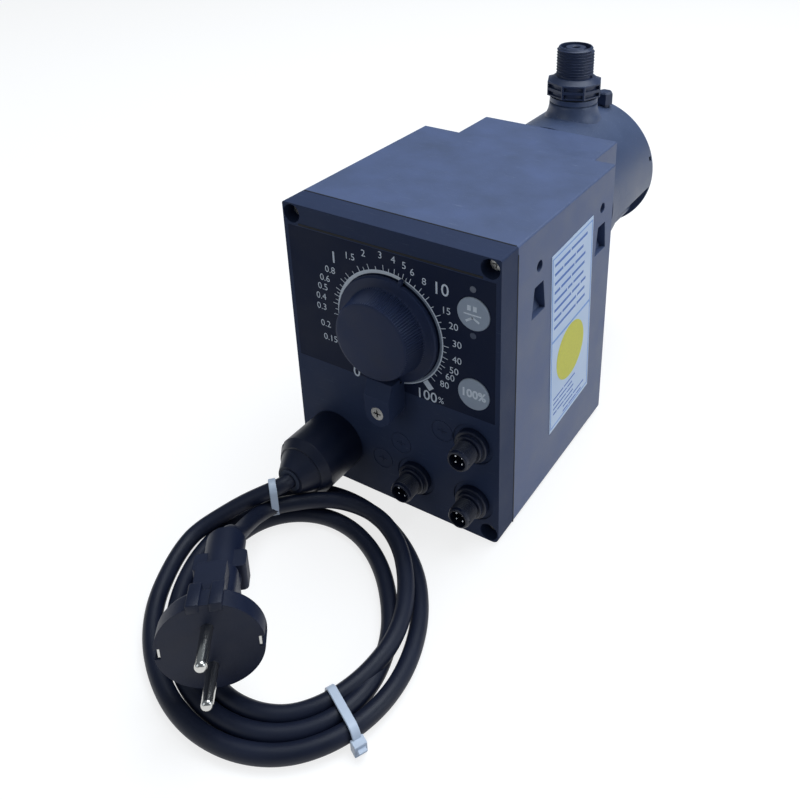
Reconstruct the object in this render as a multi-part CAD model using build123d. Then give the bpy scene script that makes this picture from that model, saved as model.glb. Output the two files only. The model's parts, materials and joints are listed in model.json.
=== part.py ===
"""Diaphragm metering pump with its operator's panel, drive, dosing head and mains lead.

Millimetres. +Z is up, the operator's panel faces -Y and the dosing head points to +Y.
The origin is the centre of the housing's underside.
"""
from build123d import *
import math
import os

# ---------------------------------------------------------------- housing
HOUSING_WIDTH = 120.0
HOUSING_HEIGHT = 158.0
HOUSING_DEPTH = 123.0
FRAME_DEPTH = 15.0          # the front frame's share of the depth
SIDE_WALL = 3.0
FACE_WALL = 4.0
REAR_WALL = 4.0
BASE_EDGE_RADIUS = 3.5
TOP_EDGE_RADIUS = 1.0
CORNER_BOSS = 11.0          # square screw column in each corner
BOSS_LENGTH = 34.0
SEAL_WIDTH = 1.4
SEAL_HEIGHT = 1.0

HOUSING_SCREW_INSET = 5.4
HOUSING_SCREW_RADIUS = 1.9
HOUSING_SCREW_LENGTH = 33.0
HOUSING_SCREW_HEAD_RADIUS = 2.9
HOUSING_SCREW_HEAD_HEIGHT = 2.4
HOUSING_SCREW_SINK = 7.6
HOUSING_SINK_RADIUS = 4.8
SCREW_CLEARANCE = 0.06
COUNTERBORE_CLEARANCE = 0.3

FRONT_Y = -HOUSING_DEPTH / 2
REAR_Y = HOUSING_DEPTH / 2
SEAM_Y = FRONT_Y + FRAME_DEPTH

# side pockets that a wall plate hooks into, as distances behind the panel
POCKET_TOP_Z = 129.0
POCKET_STEP_Z = 121.5
POCKET_BASE_Z = 113.0
POCKET_DEPTH = 8.0
POCKET_LOW_DEPTH = 3.0
POCKET_WALL = 2.0
FRONT_POCKET_Y = 36.2
REAR_POCKET_Y = 108.6
POCKET_TOP_WIDTH = 9.0
POCKET_BASE_WIDTH = 14.0
SIDE_HOLE_RADIUS = 2.9
SIDE_HOLE_Z = 138.6
SIDE_HOLE_DEPTH = 8.0
SIDE_HOLE_WALL = 2.0

LABEL_WIDTH = 48.0
LABEL_HEIGHT = 108.0
LABEL_THICKNESS = 0.2
LABEL_TILT = 2.8            # degrees, the sheet was stuck on a little askew
LABEL_CENTRE_Y = 75.4       # behind the panel
LABEL_CENTRE_Z = 84.3

# ---------------------------------------------------------------- operator's panel
PANEL_BORDER = 2.5          # frame left bare beside the panel
PANEL_WIDTH = HOUSING_WIDTH - 2 * PANEL_BORDER
PANEL_TOP_Z = 146.5
PANEL_BASE_Z = 72.0
PANEL_THICKNESS = 0.8

DIAL_Z = 106.0
SKIRT_RADIUS = 27.9
SKIRT_THICKNESS = 2.6
SKIRT_GAP = 0.4
GRIP_BASE_RADIUS = 22.4
GRIP_FRONT_RADIUS = 20.3
KNOB_HEIGHT = 15.2
KNOB_WALL = 2.5
KNOB_HUB_RADIUS = 6.0
KNOB_EDGE_RADIUS = 0.8
SHAFT_RADIUS = 3.0
SHAFT_HOLE_CLEARANCE = 0.5
RUNNING_CLEARANCE = 0.05

BUTTON_INSET = 13.7         # from the right wall's outside
BUTTON_X = HOUSING_WIDTH / 2 - BUTTON_INSET
BUTTON_HEIGHTS = {"mode_button": 128.0, "full_button": 85.1}
BUTTON_RADIUS = 8.3
BUTTON_CLEARANCE = 0.2
BUTTON_PROUD = 0.6
BUTTON_THICKNESS = 4.0
BUTTON_TRAVEL = 0.5
SWITCH_WIDTH = 6.0
SWITCH_GAP = 0.1            # left between button and switch when fully pressed
LAMP_INSET = 13.9
LAMP_X = HOUSING_WIDTH / 2 - LAMP_INSET
LAMP_HEIGHTS = [140.4, 116.7]
LAMP_RADIUS = 1.6
LAMP_PROUD = 0.2

LOCK_WIDTH = 14.6
LOCK_BASE_Z = 57.0
LOCK_TOP_Z = 81.0
LOCK_PROUD = 13.0
LOCK_SLOPE = 3.2            # how far the top facet leans back
LOCK_SLOPE_Z = 73.5
LOCK_SKIRT_GAP = 0.5
LOCK_SCREW_Z = 64.5
LOCK_SCREW_HEAD_RADIUS = 3.5
LOCK_SCREW_RADIUS = 1.5
LOCK_SCREW_LENGTH = 15.0

BOARD_SETBACK = 25.0        # panel's face to the board's front
BOARD_THICKNESS = 1.6
BOARD_WIDTH = 96.0
BOARD_BASE_Z = 5.0
BOARD_TOP_Z = 152.0
BOARD_POSTS = [(-30.0, 149.0), (30.0, 149.0), (-12.0, 9.0), (29.0, 38.0)]
BOARD_POST_RADIUS = 2.6
BOARD_SCREW_RADIUS = 1.2
BOARD_SCREW_HEAD_RADIUS = 2.3
BOARD_SCREW_LENGTH = 8.0
BOARD_SCREW_HEAD_HEIGHT = 1.6
ENCODER_SIZE = 14.0
ENCODER_DEPTH = 8.0
ENCODER_BORE_DEPTH = 4.5
BOARD_Y = FRONT_Y + BOARD_SETBACK

# ---------------------------------------------------------------- signal sockets
SOCKET_INSET = 14.3         # from the right wall's outside
SOCKET_PITCH = 33.5
SOCKET_X = HOUSING_WIDTH / 2 - SOCKET_INSET
SOCKET_UPPER_Z = 56.0
SOCKET_LOWER_Z = 21.4
SOCKET_PLACES = {
    "upper": (SOCKET_X, SOCKET_UPPER_Z),
    "right": (SOCKET_X, SOCKET_LOWER_Z),
    "left": (SOCKET_X - SOCKET_PITCH, SOCKET_LOWER_Z),
}
SOCKET_THREAD_RADIUS = 6.0
SOCKET_LENGTH = 14.5
SOCKET_COLLAR_RADIUS = 7.2
SOCKET_COLLAR_LENGTH = 5.0
SOCKET_FLANGE_RADIUS = 8.8
SOCKET_FLANGE_LENGTH = 3.0
SOCKET_SHANK_RADIUS = 7.4
SOCKET_SHANK_LENGTH = 9.0
SOCKET_BORE_RADIUS = 4.4
SOCKET_CAVITY_DEPTH = 8.5
SOCKET_SEAT_RADIUS = 11.0
SOCKET_SEAT_DEPTH = 0.5
SOCKET_PIN_RADIUS = 0.5
SOCKET_PIN_CIRCLE = 2.5
SOCKET_PIN_RECESS = 1.5
SOCKET_KEY_WIDTH = 1.2
SOCKET_KEY_DEPTH = 0.8
NUT_THICKNESS = 3.5
SOCKET_NUT_FLATS = 19.0
MOUNTING_CLEARANCE = 0.1

# ---------------------------------------------------------------- mains inlet
INLET_INSET = 22.0          # from the left wall's outside
INLET_X = INLET_INSET - HOUSING_WIDTH / 2
INLET_Z = 25.0
INLET_RADIUS = 16.5
INLET_LENGTH = 25.0
INLET_RIM_LENGTH = 4.0
INLET_RIM_RADIUS = 13.4
INLET_SHANK_RADIUS = 12.0
INLET_SHANK_LENGTH = 10.0
INLET_NUT_FLATS = 30.0
INLET_PEEP_RADIUS = 1.3
NOSE_BASE_RADIUS = 12.6
NOSE_TIP_RADIUS = 7.6
NOSE_LENGTH = 8.0
NOSE_SPIGOT_RADIUS = 9.0
NOSE_SPIGOT_LENGTH = 10.0
LINER_RADIUS = 5.9
LINER_PROUD = 0.5

# ---------------------------------------------------------------- drive
HEAD_Z = 110.0              # height of the rod, the diaphragm and the head's centre
STROKE = 3.0
SHAFT_Y = 18.0              # eccentric shaft and motor shaft, ahead of and behind the centre
GEAR_MODULE = 1.0
GEAR_TEETH = 64
PINION_TEETH = 16
GEAR_ADDENDUM = 0.9
GEAR_DEDENDUM = 1.2
GEAR_BACKLASH = 0.16
PRESSURE_ANGLE = 20.0
GEAR_X = 16.0
GEAR_WIDTH = 6.0
PINION_EXTRA = 0.5
GEAR_WEB_DEPTH = 1.5
ECCENTRIC_SHAFT_RADIUS = 4.0
ECCENTRIC_RADIUS = 9.0
ECCENTRIC_BEARING_RADIUS = 12.0
ECCENTRIC_WIDTH = 9.0
BEARING_RADIUS = 8.0
BEARING_WIDTH = 5.0
LEFT_CHEEK_X = -15.0
RIGHT_CHEEK_X = 27.0
CHEEK_FRONT_Y = -6.0
CHEEK_BASE_Z = 46.0
CHEEK_TOP_Z = 130.0
RIGHT_CHEEK_BASE_Z = 92.0
BACK_PLATE_THICKNESS = 3.5
BACK_PLATE_WIDTH = 84.0
BACK_PLATE_TOP_Z = 151.0
MOTOR_SIZE = 42.0
MOTOR_LENGTH = 34.0
MOTOR_CORNER = 4.0
MOTOR_PILOT_RADIUS = 11.0
MOTOR_PILOT_LENGTH = 2.0
MOTOR_SHAFT_RADIUS = 2.5
MOTOR_SCREW_SPACING = 31.0
MOTOR_SCREW_RADIUS = 1.5
MOTOR_SCREW_HEAD_RADIUS = 2.7
MOTOR_SCREW_HEAD_HEIGHT = 2.4
MOTOR_SCREW_GRIP = 4.0
YOKE_CLEARANCE = 0.65
YOKE_SIDE_CLEARANCE = 0.5
YOKE_WALL = 5.0
YOKE_THICKNESS = 9.0
ROD_RADIUS = 5.0
ROD_HOLE_CLEARANCE = 2.0
DRIVE_SCREW_X = 34.0
DRIVE_SCREW_DROP = 34.0
DRIVE_SCREW_RADIUS = 2.4
DRIVE_SCREW_HEAD_RADIUS = 4.2
DRIVE_SCREW_HEAD_HEIGHT = 4.0
DRIVE_SCREW_LENGTH = 18.0

MOTOR_Z = HEAD_Z - GEAR_MODULE * (GEAR_TEETH + PINION_TEETH) / 2
WALL_INNER_Y = REAR_Y - REAR_WALL
PLATE_Y = WALL_INNER_Y - BACK_PLATE_THICKNESS
ECCENTRIC_Y = SHAFT_Y - STROKE / 2

# ---------------------------------------------------------------- drive flange and dosing head
FLANGE_SIZE = 87.0
FLANGE_DEPTH = 43.0
FLANGE_EDGE_RADIUS = 1.0
FLANGE_BASE_RADIUS = 8.0
GUIDE_RADIUS = 9.0
GUIDE_INSET = 4.0
GUIDE_LENGTH = 16.0
DRY_CHAMBER_RADIUS = 28.0
DRY_CHAMBER_DEPTH = 21.0
DRAIN_RADIUS = 3.0
DIAPHRAGM_RADIUS = 31.0
DIAPHRAGM_THICKNESS = 3.0
CORE_RADIUS = 14.0
CORE_BACK = 4.0             # how far the core stands behind the diaphragm
CORE_FRONT = 1.0
CORE_GAP = 0.3
WET_CHAMBER_RADIUS = 24.0
WET_CHAMBER_DEPTH = 5.0
HEAD_RADIUS = 44.0
HEAD_FLANGE_LENGTH = 10.0
HEAD_CORE_RADIUS = 30.5
COVER_LENGTH = 58.0
COVER_WALL = 2.5
COVER_BACK = 3.0
COVER_HEM_Z = 101.0         # lower edge of the cover's skirt
COVER_EDGE_RADIUS = 1.5
COVER_SLOT_ANGLE = 14.5
COVER_SLOT_SIZE = 3.0
HEAD_SCREW_CIRCLE = 36.5
FIRST_SCREW_ANGLE = 45.0
HEAD_SCREW_RADIUS = 2.5
HEAD_SCREW_HEAD_RADIUS = 4.0
HEAD_SCREW_HEAD_HEIGHT = 4.0
HEAD_SCREW_BITE = 13.0
COVER_POST_RADIUS = 5.5
HEX_KEY_FLATS = 4.0
HEX_KEY_DEPTH = 2.2

VALVE_SETBACK = 34.0        # drive flange's rear face to the valve axis
NECK_RADIUS = 14.8
NECK_REACH = 55.0
NECK_HOLE_CLEARANCE = 1.5
GASKET_THICKNESS = 1.5
GASKET_RADIUS = 13.8
NUT_FLATS = 32.3
VALVE_NUT_HEIGHT = 8.5
VALVE_CONE_HEIGHT = 2.5
VALVE_CONE_TOP_RADIUS = 12.6
VALVE_WINDOW_WIDTH = 9.6
VALVE_WINDOW_HEIGHT = 3.0
VALVE_WINDOW_DEPTH = 1.3
VALVE_THREAD_RADIUS = 11.45
VALVE_END = 86.0            # valve's end face above or below the head's centre
VALVE_MOUTH_RADIUS = 9.2
VALVE_MOUTH_DEPTH = 3.0
NIPPLE_RADIUS = 6.2
FLOW_RADIUS = 2.4
VALVE_SHANK_RADIUS = 9.0
VALVE_SHANK_LENGTH = 15.0
VALVE_SHANK_CLEARANCE = 0.1
BALL_RADIUS = 3.2
BALL_LIFT = 1.5
BALL_CHAMBER_RADIUS = 4.6
BALL_CHAMBER_LENGTH = 10.5
SEAT_THICKNESS = 3.0
BALL_SEAT_GAP = 0.05
CHANNEL_RADIUS = 2.4
PORT_RADIUS = 2.0
CHANNEL_OFFSET = 18.0

VENT_X = 10.0
VENT_SETBACK = 8.0          # cover's back to the vent screw's axis
VENT_HEAD_RADIUS = 5.4
VENT_HEAD_HEIGHT = 8.0
VENT_HEAD_GAP = 0.4
VENT_SHANK_RADIUS = 3.0
VENT_DEPTH = 10.0
VENT_HOLE_CLEARANCE = 0.4

HEAD_FACE_Y = REAR_Y + FLANGE_DEPTH
COVER_FRONT_Y = HEAD_FACE_Y + HEAD_FLANGE_LENGTH
COVER_BACK_Y = COVER_FRONT_Y + COVER_LENGTH
VALVE_Y = HEAD_FACE_Y + VALVE_SETBACK
VENT_Y = COVER_BACK_Y - VENT_SETBACK

# ---------------------------------------------------------------- mains lead
CABLE_RADIUS = 4.0
LINER_GRIP = 10.0           # length of cable held inside the nose
COIL_CENTRE = (-1.5, -143.5)
COIL_LONG = 74.0            # half the coil's outer length
COIL_SHORT = 61.5           # half its outer width
COIL_ANGLE = -41.0
COIL_BAND = 24.0
COIL_EDGE_RADIUS = 2.5
RIDGE_INSET = 12.0          # the strands that lie on top of the others
RIDGE_WIDTH = 9.0
RIDGE_HEIGHT = 7.0
PLUG_FACE_PLACE = (6.5, -193.5)     # middle of the plug's pin face, seen from above
PLUG_REST_GAP = 0.5         # plug's rim above the strands that it lies on
PLUG_ANGLE = -50.7          # direction in which the pins point, seen from above
PLUG_TILT = 4.3             # degrees by which the pins point up
PLUG_DISC_RADIUS = 21.0
PLUG_DISC_THICKNESS = 9.0
PLUG_GRIP_WIDTH = 17.0
PLUG_GRIP_HEIGHT = 24.0
PLUG_GRIP_LENGTH = 22.0
PLUG_NECK_RADIUS = 8.5
PLUG_LENGTH = 58.0
PLUG_WING_SPAN = 22.0
PLUG_WING_LENGTH = 10.0
PLUG_WING_HEIGHT = 13.0
PLUG_KEY_WIDTH = 12.0
PLUG_STRAIGHT = 7.0         # length of lead in line with the plug
PLUG_PIN_RADIUS = 2.4
PLUG_PIN_LENGTH = 19.0
PLUG_PIN_SPACING = 19.0
PLUG_PIN_ROOT = 12.0
EARTH_CLIP_WIDTH = 5.0
EARTH_CLIP_THICKNESS = 1.0
EARTH_CLIP_LENGTH = 8.0
TIE_WIDTH = 3.6
TIE_THICKNESS = 1.1
TIE_LOCK = 5.5
TIE_ANGLES = [178.5, 15.0]           # places on the coil
TIE_HEIGHTS = [18.8, 15.4]           # the first also holds the lead to the plug
TIE_OUTER_REACHES = [13.4, 13.4]
TIE_INNER_REACHES = [20.5, 13.4]
TIE_CLEARANCE = 0.15

INLET_STRAIGHT = 5.5        # cable in line with the inlet, past its liner
INLET_RUN = [
    (-42.5, -111.8, 23.7),
    (-50.0, -119.0, 19.8),
    (-55.5, -127.5, 15.4),
    (-60.0, -136.5, 12.6),
    (-61.8, -146.0, 11.0),
    (-60.8, -156.0, 9.0),
]
PLUG_RUN = [
    (-28.5, -95.4, 11.0),
    (-34.5, -103.2, 12.0),
    (-37.7, -111.9, 12.9),
    (-38.7, -120.4, 18.7),
    (-39.0, -128.2, 24.4),
    (-37.9, -135.9, 29.0),
]


# ---------------------------------------------------------------- plain shapes
def block(x0, x1, y0, y1, z0, z1):
    """Box between two corners."""
    return Pos((x0 + x1) / 2, (y0 + y1) / 2, (z0 + z1) / 2) * Box(x1 - x0, y1 - y0, z1 - z0)


def rod_x(radius, x0, x1, y, z):
    return Pos((x0 + x1) / 2, y, z) * Rot(0, 90, 0) * Cylinder(radius, x1 - x0)


def rod_y(radius, y0, y1, x, z):
    return Pos(x, (y0 + y1) / 2, z) * Rot(90, 0, 0) * Cylinder(radius, y1 - y0)


def rod_z(radius, z0, z1, x, y):
    return Pos(x, y, (z0 + z1) / 2) * Cylinder(radius, z1 - z0)


def tube_y(outer, inner, y0, y1, x, z):
    return rod_y(outer, y0, y1, x, z) - rod_y(inner, y0 - 1, y1 + 1, x, z)


def cone_y(radius0, radius1, y0, y1, x, z):
    """Cone along Y with radius0 at y0 and radius1 at y1."""
    return Pos(x, (y0 + y1) / 2, z) * Rot(-90, 0, 0) * Cone(radius0, radius1, y1 - y0)


def prism_y(flats, sides, y0, y1, x, z):
    """Regular prism along Y, given across its flats."""
    corner = flats / 2 / math.cos(math.pi / sides)
    face = Rot(0, 0, 180 / sides) * RegularPolygon(corner, sides)
    return Pos(x, y1, z) * Rot(90, 0, 0) * extrude(face, amount=y1 - y0)


def on_circle(radius, count, start=FIRST_SCREW_ANGLE):
    """Places of evenly spaced points on a circle."""
    for index in range(count):
        angle = math.radians(start + 360 * index / count)
        yield radius * math.cos(angle), radius * math.sin(angle)


def corner_places():
    """X and Z of the four housing screws."""
    reach = HOUSING_WIDTH / 2 - HOUSING_SCREW_INSET
    for x in (-reach, reach):
        for z in (HOUSING_SCREW_INSET, HOUSING_HEIGHT - HOUSING_SCREW_INSET):
            yield x, z


# ---------------------------------------------------------------- housing
def outer_box(y0, y1):
    """Outer block of the housing between two depths, with its long edges rounded."""
    half = HOUSING_WIDTH / 2
    body = block(-half, half, y0, y1, 0, HOUSING_HEIGHT)
    long_edges = body.edges().filter_by(Axis.Y).sort_by(Axis.Z)
    body = fillet(long_edges[:2], BASE_EDGE_RADIUS)
    long_edges = body.edges().filter_by(Axis.Y).sort_by(Axis.Z)
    return fillet(long_edges[-2:], TOP_EDGE_RADIUS)


def corner_columns(y0, y1):
    """Square columns in the corners, trimmed to the housing's outline."""
    columns = []
    for side in (-1, 1):
        outer = side * HOUSING_WIDTH / 2
        inner = outer - side * CORNER_BOSS
        x0, x1 = min(outer, inner), max(outer, inner)
        columns.append(block(x0, x1, y0, y1, 0, CORNER_BOSS))
        columns.append(block(x0, x1, y0, y1, HOUSING_HEIGHT - CORNER_BOSS, HOUSING_HEIGHT))
    return Part() + columns


def inner_space(y0, y1):
    """Room inside the side walls, less the corner columns."""
    half = HOUSING_WIDTH / 2 - SIDE_WALL
    room = block(-half, half, y0, y1, SIDE_WALL, HOUSING_HEIGHT - SIDE_WALL)
    return room


def panel_cut(thickness):
    half = PANEL_WIDTH / 2
    return block(-half, half, FRONT_Y, FRONT_Y + thickness, PANEL_BASE_Z, PANEL_TOP_Z)


def make_front_frame():
    frame = outer_box(FRONT_Y, SEAM_Y)
    room = inner_space(FRONT_Y + FACE_WALL, SEAM_Y + 1)
    frame -= room - corner_columns(FRONT_Y, SEAM_Y + 1)
    for x, z in corner_places():
        sink = HOUSING_SINK_RADIUS
        frame -= rod_y(sink, FRONT_Y - 1, FRONT_Y + HOUSING_SCREW_SINK, x, z)
        frame -= rod_y(HOUSING_SCREW_RADIUS + SCREW_CLEARANCE, FRONT_Y, SEAM_Y + 1, x, z)
    back = FRONT_Y + FACE_WALL
    for x, z in BOARD_POSTS:
        post = rod_y(BOARD_POST_RADIUS, back - 0.5, BOARD_Y, x, z)
        screw_hole_start = BOARD_Y - BOARD_SCREW_LENGTH
        post -= rod_y(BOARD_SCREW_RADIUS + SCREW_CLEARANCE, screw_hole_start, BOARD_Y + 1, x, z)
        frame += post
    frame -= panel_cut(PANEL_THICKNESS)
    frame -= rod_y(SHAFT_RADIUS + SHAFT_HOLE_CLEARANCE, FRONT_Y - 1, back + 1, 0, DIAL_Z)
    for z in BUTTON_HEIGHTS.values():
        frame -= rod_y(BUTTON_RADIUS + BUTTON_CLEARANCE, FRONT_Y - 1, back + 1, BUTTON_X, z)
    for z in LAMP_HEIGHTS:
        frame -= rod_y(LAMP_RADIUS, FRONT_Y - 1, back + 1, LAMP_X, z)
    for x, z in SOCKET_PLACES.values():
        frame -= rod_y(SOCKET_SEAT_RADIUS, FRONT_Y - 1, FRONT_Y + SOCKET_SEAT_DEPTH, x, z)
        frame -= rod_y(SOCKET_SHANK_RADIUS + MOUNTING_CLEARANCE, FRONT_Y, back + 1, x, z)
    inlet_hole = INLET_SHANK_RADIUS + MOUNTING_CLEARANCE
    frame -= rod_y(inlet_hole, FRONT_Y - 1, back + 1, INLET_X, INLET_Z)
    lock_hole = LOCK_SCREW_RADIUS + SCREW_CLEARANCE
    frame -= rod_y(lock_hole, FRONT_Y - 1, back + 1, 0, LOCK_SCREW_Z)
    return frame


def pocket_outline(grow):
    """Side view of a pocket about its middle: narrow at the top and wide below."""
    top = POCKET_TOP_WIDTH / 2 + grow
    base = POCKET_BASE_WIDTH / 2 + grow
    return Polyline(
        (-top, POCKET_TOP_Z + grow),
        (top, POCKET_TOP_Z + grow),
        (base, POCKET_BASE_Z - grow),
        (-base, POCKET_BASE_Z - grow),
        close=True,
    )


def pocket(side, setback, grow=0.0, overshoot=1.0):
    """Pocket in a side wall: deep at the top, with a ramp that rises to its lower edge."""
    outer = HOUSING_WIDTH / 2
    face = make_face(pocket_outline(grow))
    full = extrude(face, amount=POCKET_DEPTH + grow + overshoot)
    full = Pos(outer + overshoot, FRONT_Y + setback, 0) * Rot(0, 0, -90) * Rot(90, 0, 0) * full
    deep = outer - POCKET_DEPTH - grow
    shallow = outer - POCKET_LOW_DEPTH - grow
    ramp = make_face(Polyline(
        (deep - 1, POCKET_STEP_Z - grow),
        (deep, POCKET_STEP_Z - grow),
        (shallow, POCKET_BASE_Z - grow),
        (shallow, POCKET_BASE_Z - grow - 5),
        (deep - 1, POCKET_BASE_Z - grow - 5),
        close=True,
    ))
    half = POCKET_BASE_WIDTH / 2 + grow + 1
    wedge = Pos(0, FRONT_Y + setback + half, 0) * Rot(90, 0, 0) * extrude(ramp, amount=2 * half)
    shape = full - wedge
    if side < 0:
        shape = mirror(shape, about=Plane.YZ)
    return shape


def side_features():
    """Side and setback of each pocket and of the hole above it."""
    for side in (-1, 1):
        for setback in (FRONT_POCKET_Y, REAR_POCKET_Y):
            yield side, setback


def side_hole(side, setback, grow=0.0):
    outer = side * (HOUSING_WIDTH / 2 + 1)
    inner = side * (HOUSING_WIDTH / 2 - SIDE_HOLE_DEPTH - grow)
    x0, x1 = min(outer, inner), max(outer, inner)
    return rod_x(SIDE_HOLE_RADIUS + grow, x0, x1, FRONT_Y + setback, SIDE_HOLE_Z)


def make_rear_housing():
    housing = outer_box(SEAM_Y, REAR_Y)
    room = inner_space(SEAM_Y - 1, WALL_INNER_Y)
    room -= corner_columns(SEAM_Y - 1, SEAM_Y + BOSS_LENGTH)
    for side, setback in side_features():
        room -= pocket(side, setback, grow=POCKET_WALL, overshoot=0.0)
        room -= side_hole(side, setback, grow=SIDE_HOLE_WALL)
    housing -= room
    for side, setback in side_features():
        housing -= pocket(side, setback)
        housing -= side_hole(side, setback)
    for x, z in corner_places():
        end = FRONT_Y + HOUSING_SCREW_SINK + HOUSING_SCREW_LENGTH + 1
        housing -= rod_y(HOUSING_SCREW_RADIUS + SCREW_CLEARANCE, SEAM_Y - 1, end, x, z)
    for x, z in drive_screw_places():
        housing -= rod_y(DRIVE_SCREW_RADIUS + SCREW_CLEARANCE, WALL_INNER_Y - 1, REAR_Y + 1, x, z)
    housing -= rod_y(ROD_RADIUS + ROD_HOLE_CLEARANCE, WALL_INNER_Y - 1, REAR_Y + 1, 0, HEAD_Z)
    housing -= seal_ring()
    return housing


def seal_ring():
    """Square-section gasket let into the rear housing's front edge."""
    inset = (SIDE_WALL - SEAL_WIDTH) / 2
    half = HOUSING_WIDTH / 2 - inset
    inner = half - SEAL_WIDTH
    y0, y1 = SEAM_Y, SEAM_Y + SEAL_HEIGHT
    ring = block(-half, half, y0, y1, inset, HOUSING_HEIGHT - inset)
    low = inset + SEAL_WIDTH
    ring = fillet(ring.edges().filter_by(Axis.Y), BASE_EDGE_RADIUS - inset)
    hole = block(-inner, inner, y0 - 1, y1 + 1, low, HOUSING_HEIGHT - low)
    return ring - fillet(hole.edges().filter_by(Axis.Y), BASE_EDGE_RADIUS - low)


def make_housing_screws():
    start = FRONT_Y + HOUSING_SCREW_SINK
    screws = []
    for x, z in corner_places():
        head = rod_y(HOUSING_SCREW_HEAD_RADIUS, start - HOUSING_SCREW_HEAD_HEIGHT, start, x, z)
        shank = rod_y(HOUSING_SCREW_RADIUS, start - 0.5, start + HOUSING_SCREW_LENGTH, x, z)
        face = start - HOUSING_SCREW_HEAD_HEIGHT
        screws.append(head + shank - cross_slot(face, x, z, HOUSING_SCREW_HEAD_RADIUS))
    return Compound(children=screws)


def cross_slot(face_y, x, z, head_radius):
    """Cross recess in a screw head that faces -Y."""
    arm = head_radius * 0.6
    width = head_radius * 0.13
    depth = head_radius * 0.45
    flat = block(x - arm, x + arm, face_y - 1, face_y + depth, z - width, z + width)
    tall = block(x - width, x + width, face_y - 1, face_y + depth, z - arm, z + arm)
    return flat + tall


def make_label():
    outer = HOUSING_WIDTH / 2
    sheet = block(0, LABEL_THICKNESS, -LABEL_WIDTH / 2, LABEL_WIDTH / 2,
                  -LABEL_HEIGHT / 2, LABEL_HEIGHT / 2)
    sheet = Pos(outer, FRONT_Y + LABEL_CENTRE_Y, LABEL_CENTRE_Z) * Rot(LABEL_TILT, 0, 0) * sheet
    return sheet


# ---------------------------------------------------------------- operator's panel
def make_panel():
    panel = panel_cut(PANEL_THICKNESS)
    y0, y1 = FRONT_Y - 1, FRONT_Y + PANEL_THICKNESS + 1
    panel -= rod_y(SHAFT_RADIUS + SHAFT_HOLE_CLEARANCE, y0, y1, 0, DIAL_Z)
    for z in BUTTON_HEIGHTS.values():
        panel -= rod_y(BUTTON_RADIUS + BUTTON_CLEARANCE, y0, y1, BUTTON_X, z)
    for z in LAMP_HEIGHTS:
        panel -= rod_y(LAMP_RADIUS, y0, y1, LAMP_X, z)
    return panel


def make_knob():
    front = FRONT_Y - KNOB_HEIGHT
    skirt_back = FRONT_Y - SKIRT_GAP
    skirt_front = skirt_back - SKIRT_THICKNESS
    skirt = rod_y(SKIRT_RADIUS, skirt_front, skirt_back, 0, DIAL_Z)
    grip = cone_y(GRIP_FRONT_RADIUS, GRIP_BASE_RADIUS, front, skirt_back, 0, DIAL_Z)
    grip = fillet(grip.edges().sort_by(Axis.Y)[0], KNOB_EDGE_RADIUS)
    hollow = rod_y(GRIP_FRONT_RADIUS - KNOB_WALL, front + KNOB_WALL, skirt_back + 1, 0, DIAL_Z)
    hollow -= rod_y(KNOB_HUB_RADIUS, front, skirt_back + 2, 0, DIAL_Z)
    bore = rod_y(SHAFT_RADIUS, front + KNOB_WALL, skirt_back + 1, 0, DIAL_Z)
    return skirt + grip - hollow - bore


def make_dial_shaft():
    start = FRONT_Y - KNOB_HEIGHT + KNOB_WALL
    end = BOARD_Y - ENCODER_DEPTH + ENCODER_BORE_DEPTH - RUNNING_CLEARANCE
    return rod_y(SHAFT_RADIUS, start, end, 0, DIAL_Z)


def make_encoder():
    half = ENCODER_SIZE / 2
    front = BOARD_Y - ENCODER_DEPTH
    body = block(-half, half, front, BOARD_Y, DIAL_Z - half, DIAL_Z + half)
    bore = SHAFT_RADIUS + RUNNING_CLEARANCE
    return body - rod_y(bore, front - 1, front + ENCODER_BORE_DEPTH, 0, DIAL_Z)


def make_button(z):
    front = FRONT_Y - BUTTON_PROUD
    button = rod_y(BUTTON_RADIUS, front, front + BUTTON_THICKNESS, BUTTON_X, z)
    return chamfer(button.edges().sort_by(Axis.Y)[0], BUTTON_PROUD / 2)


def make_switches():
    front = FRONT_Y - BUTTON_PROUD + BUTTON_THICKNESS + BUTTON_TRAVEL + SWITCH_GAP
    half = SWITCH_WIDTH / 2
    towers = []
    for z in BUTTON_HEIGHTS.values():
        towers.append(block(BUTTON_X - half, BUTTON_X + half, front, BOARD_Y, z - half, z + half))
    return Compound(children=towers)


def make_lamps():
    lamps = []
    for z in LAMP_HEIGHTS:
        lamps.append(rod_y(LAMP_RADIUS, FRONT_Y - LAMP_PROUD, FRONT_Y + FACE_WALL, LAMP_X, z))
    return Compound(children=lamps)


def lock_outline(y0, y1):
    """Tongue with a round lower end, as seen from the front."""
    half = LOCK_WIDTH / 2
    centre = LOCK_BASE_Z + half
    return block(-half, half, y0, y1, centre, LOCK_TOP_Z) + rod_y(half, y0, y1, 0, centre)


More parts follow.
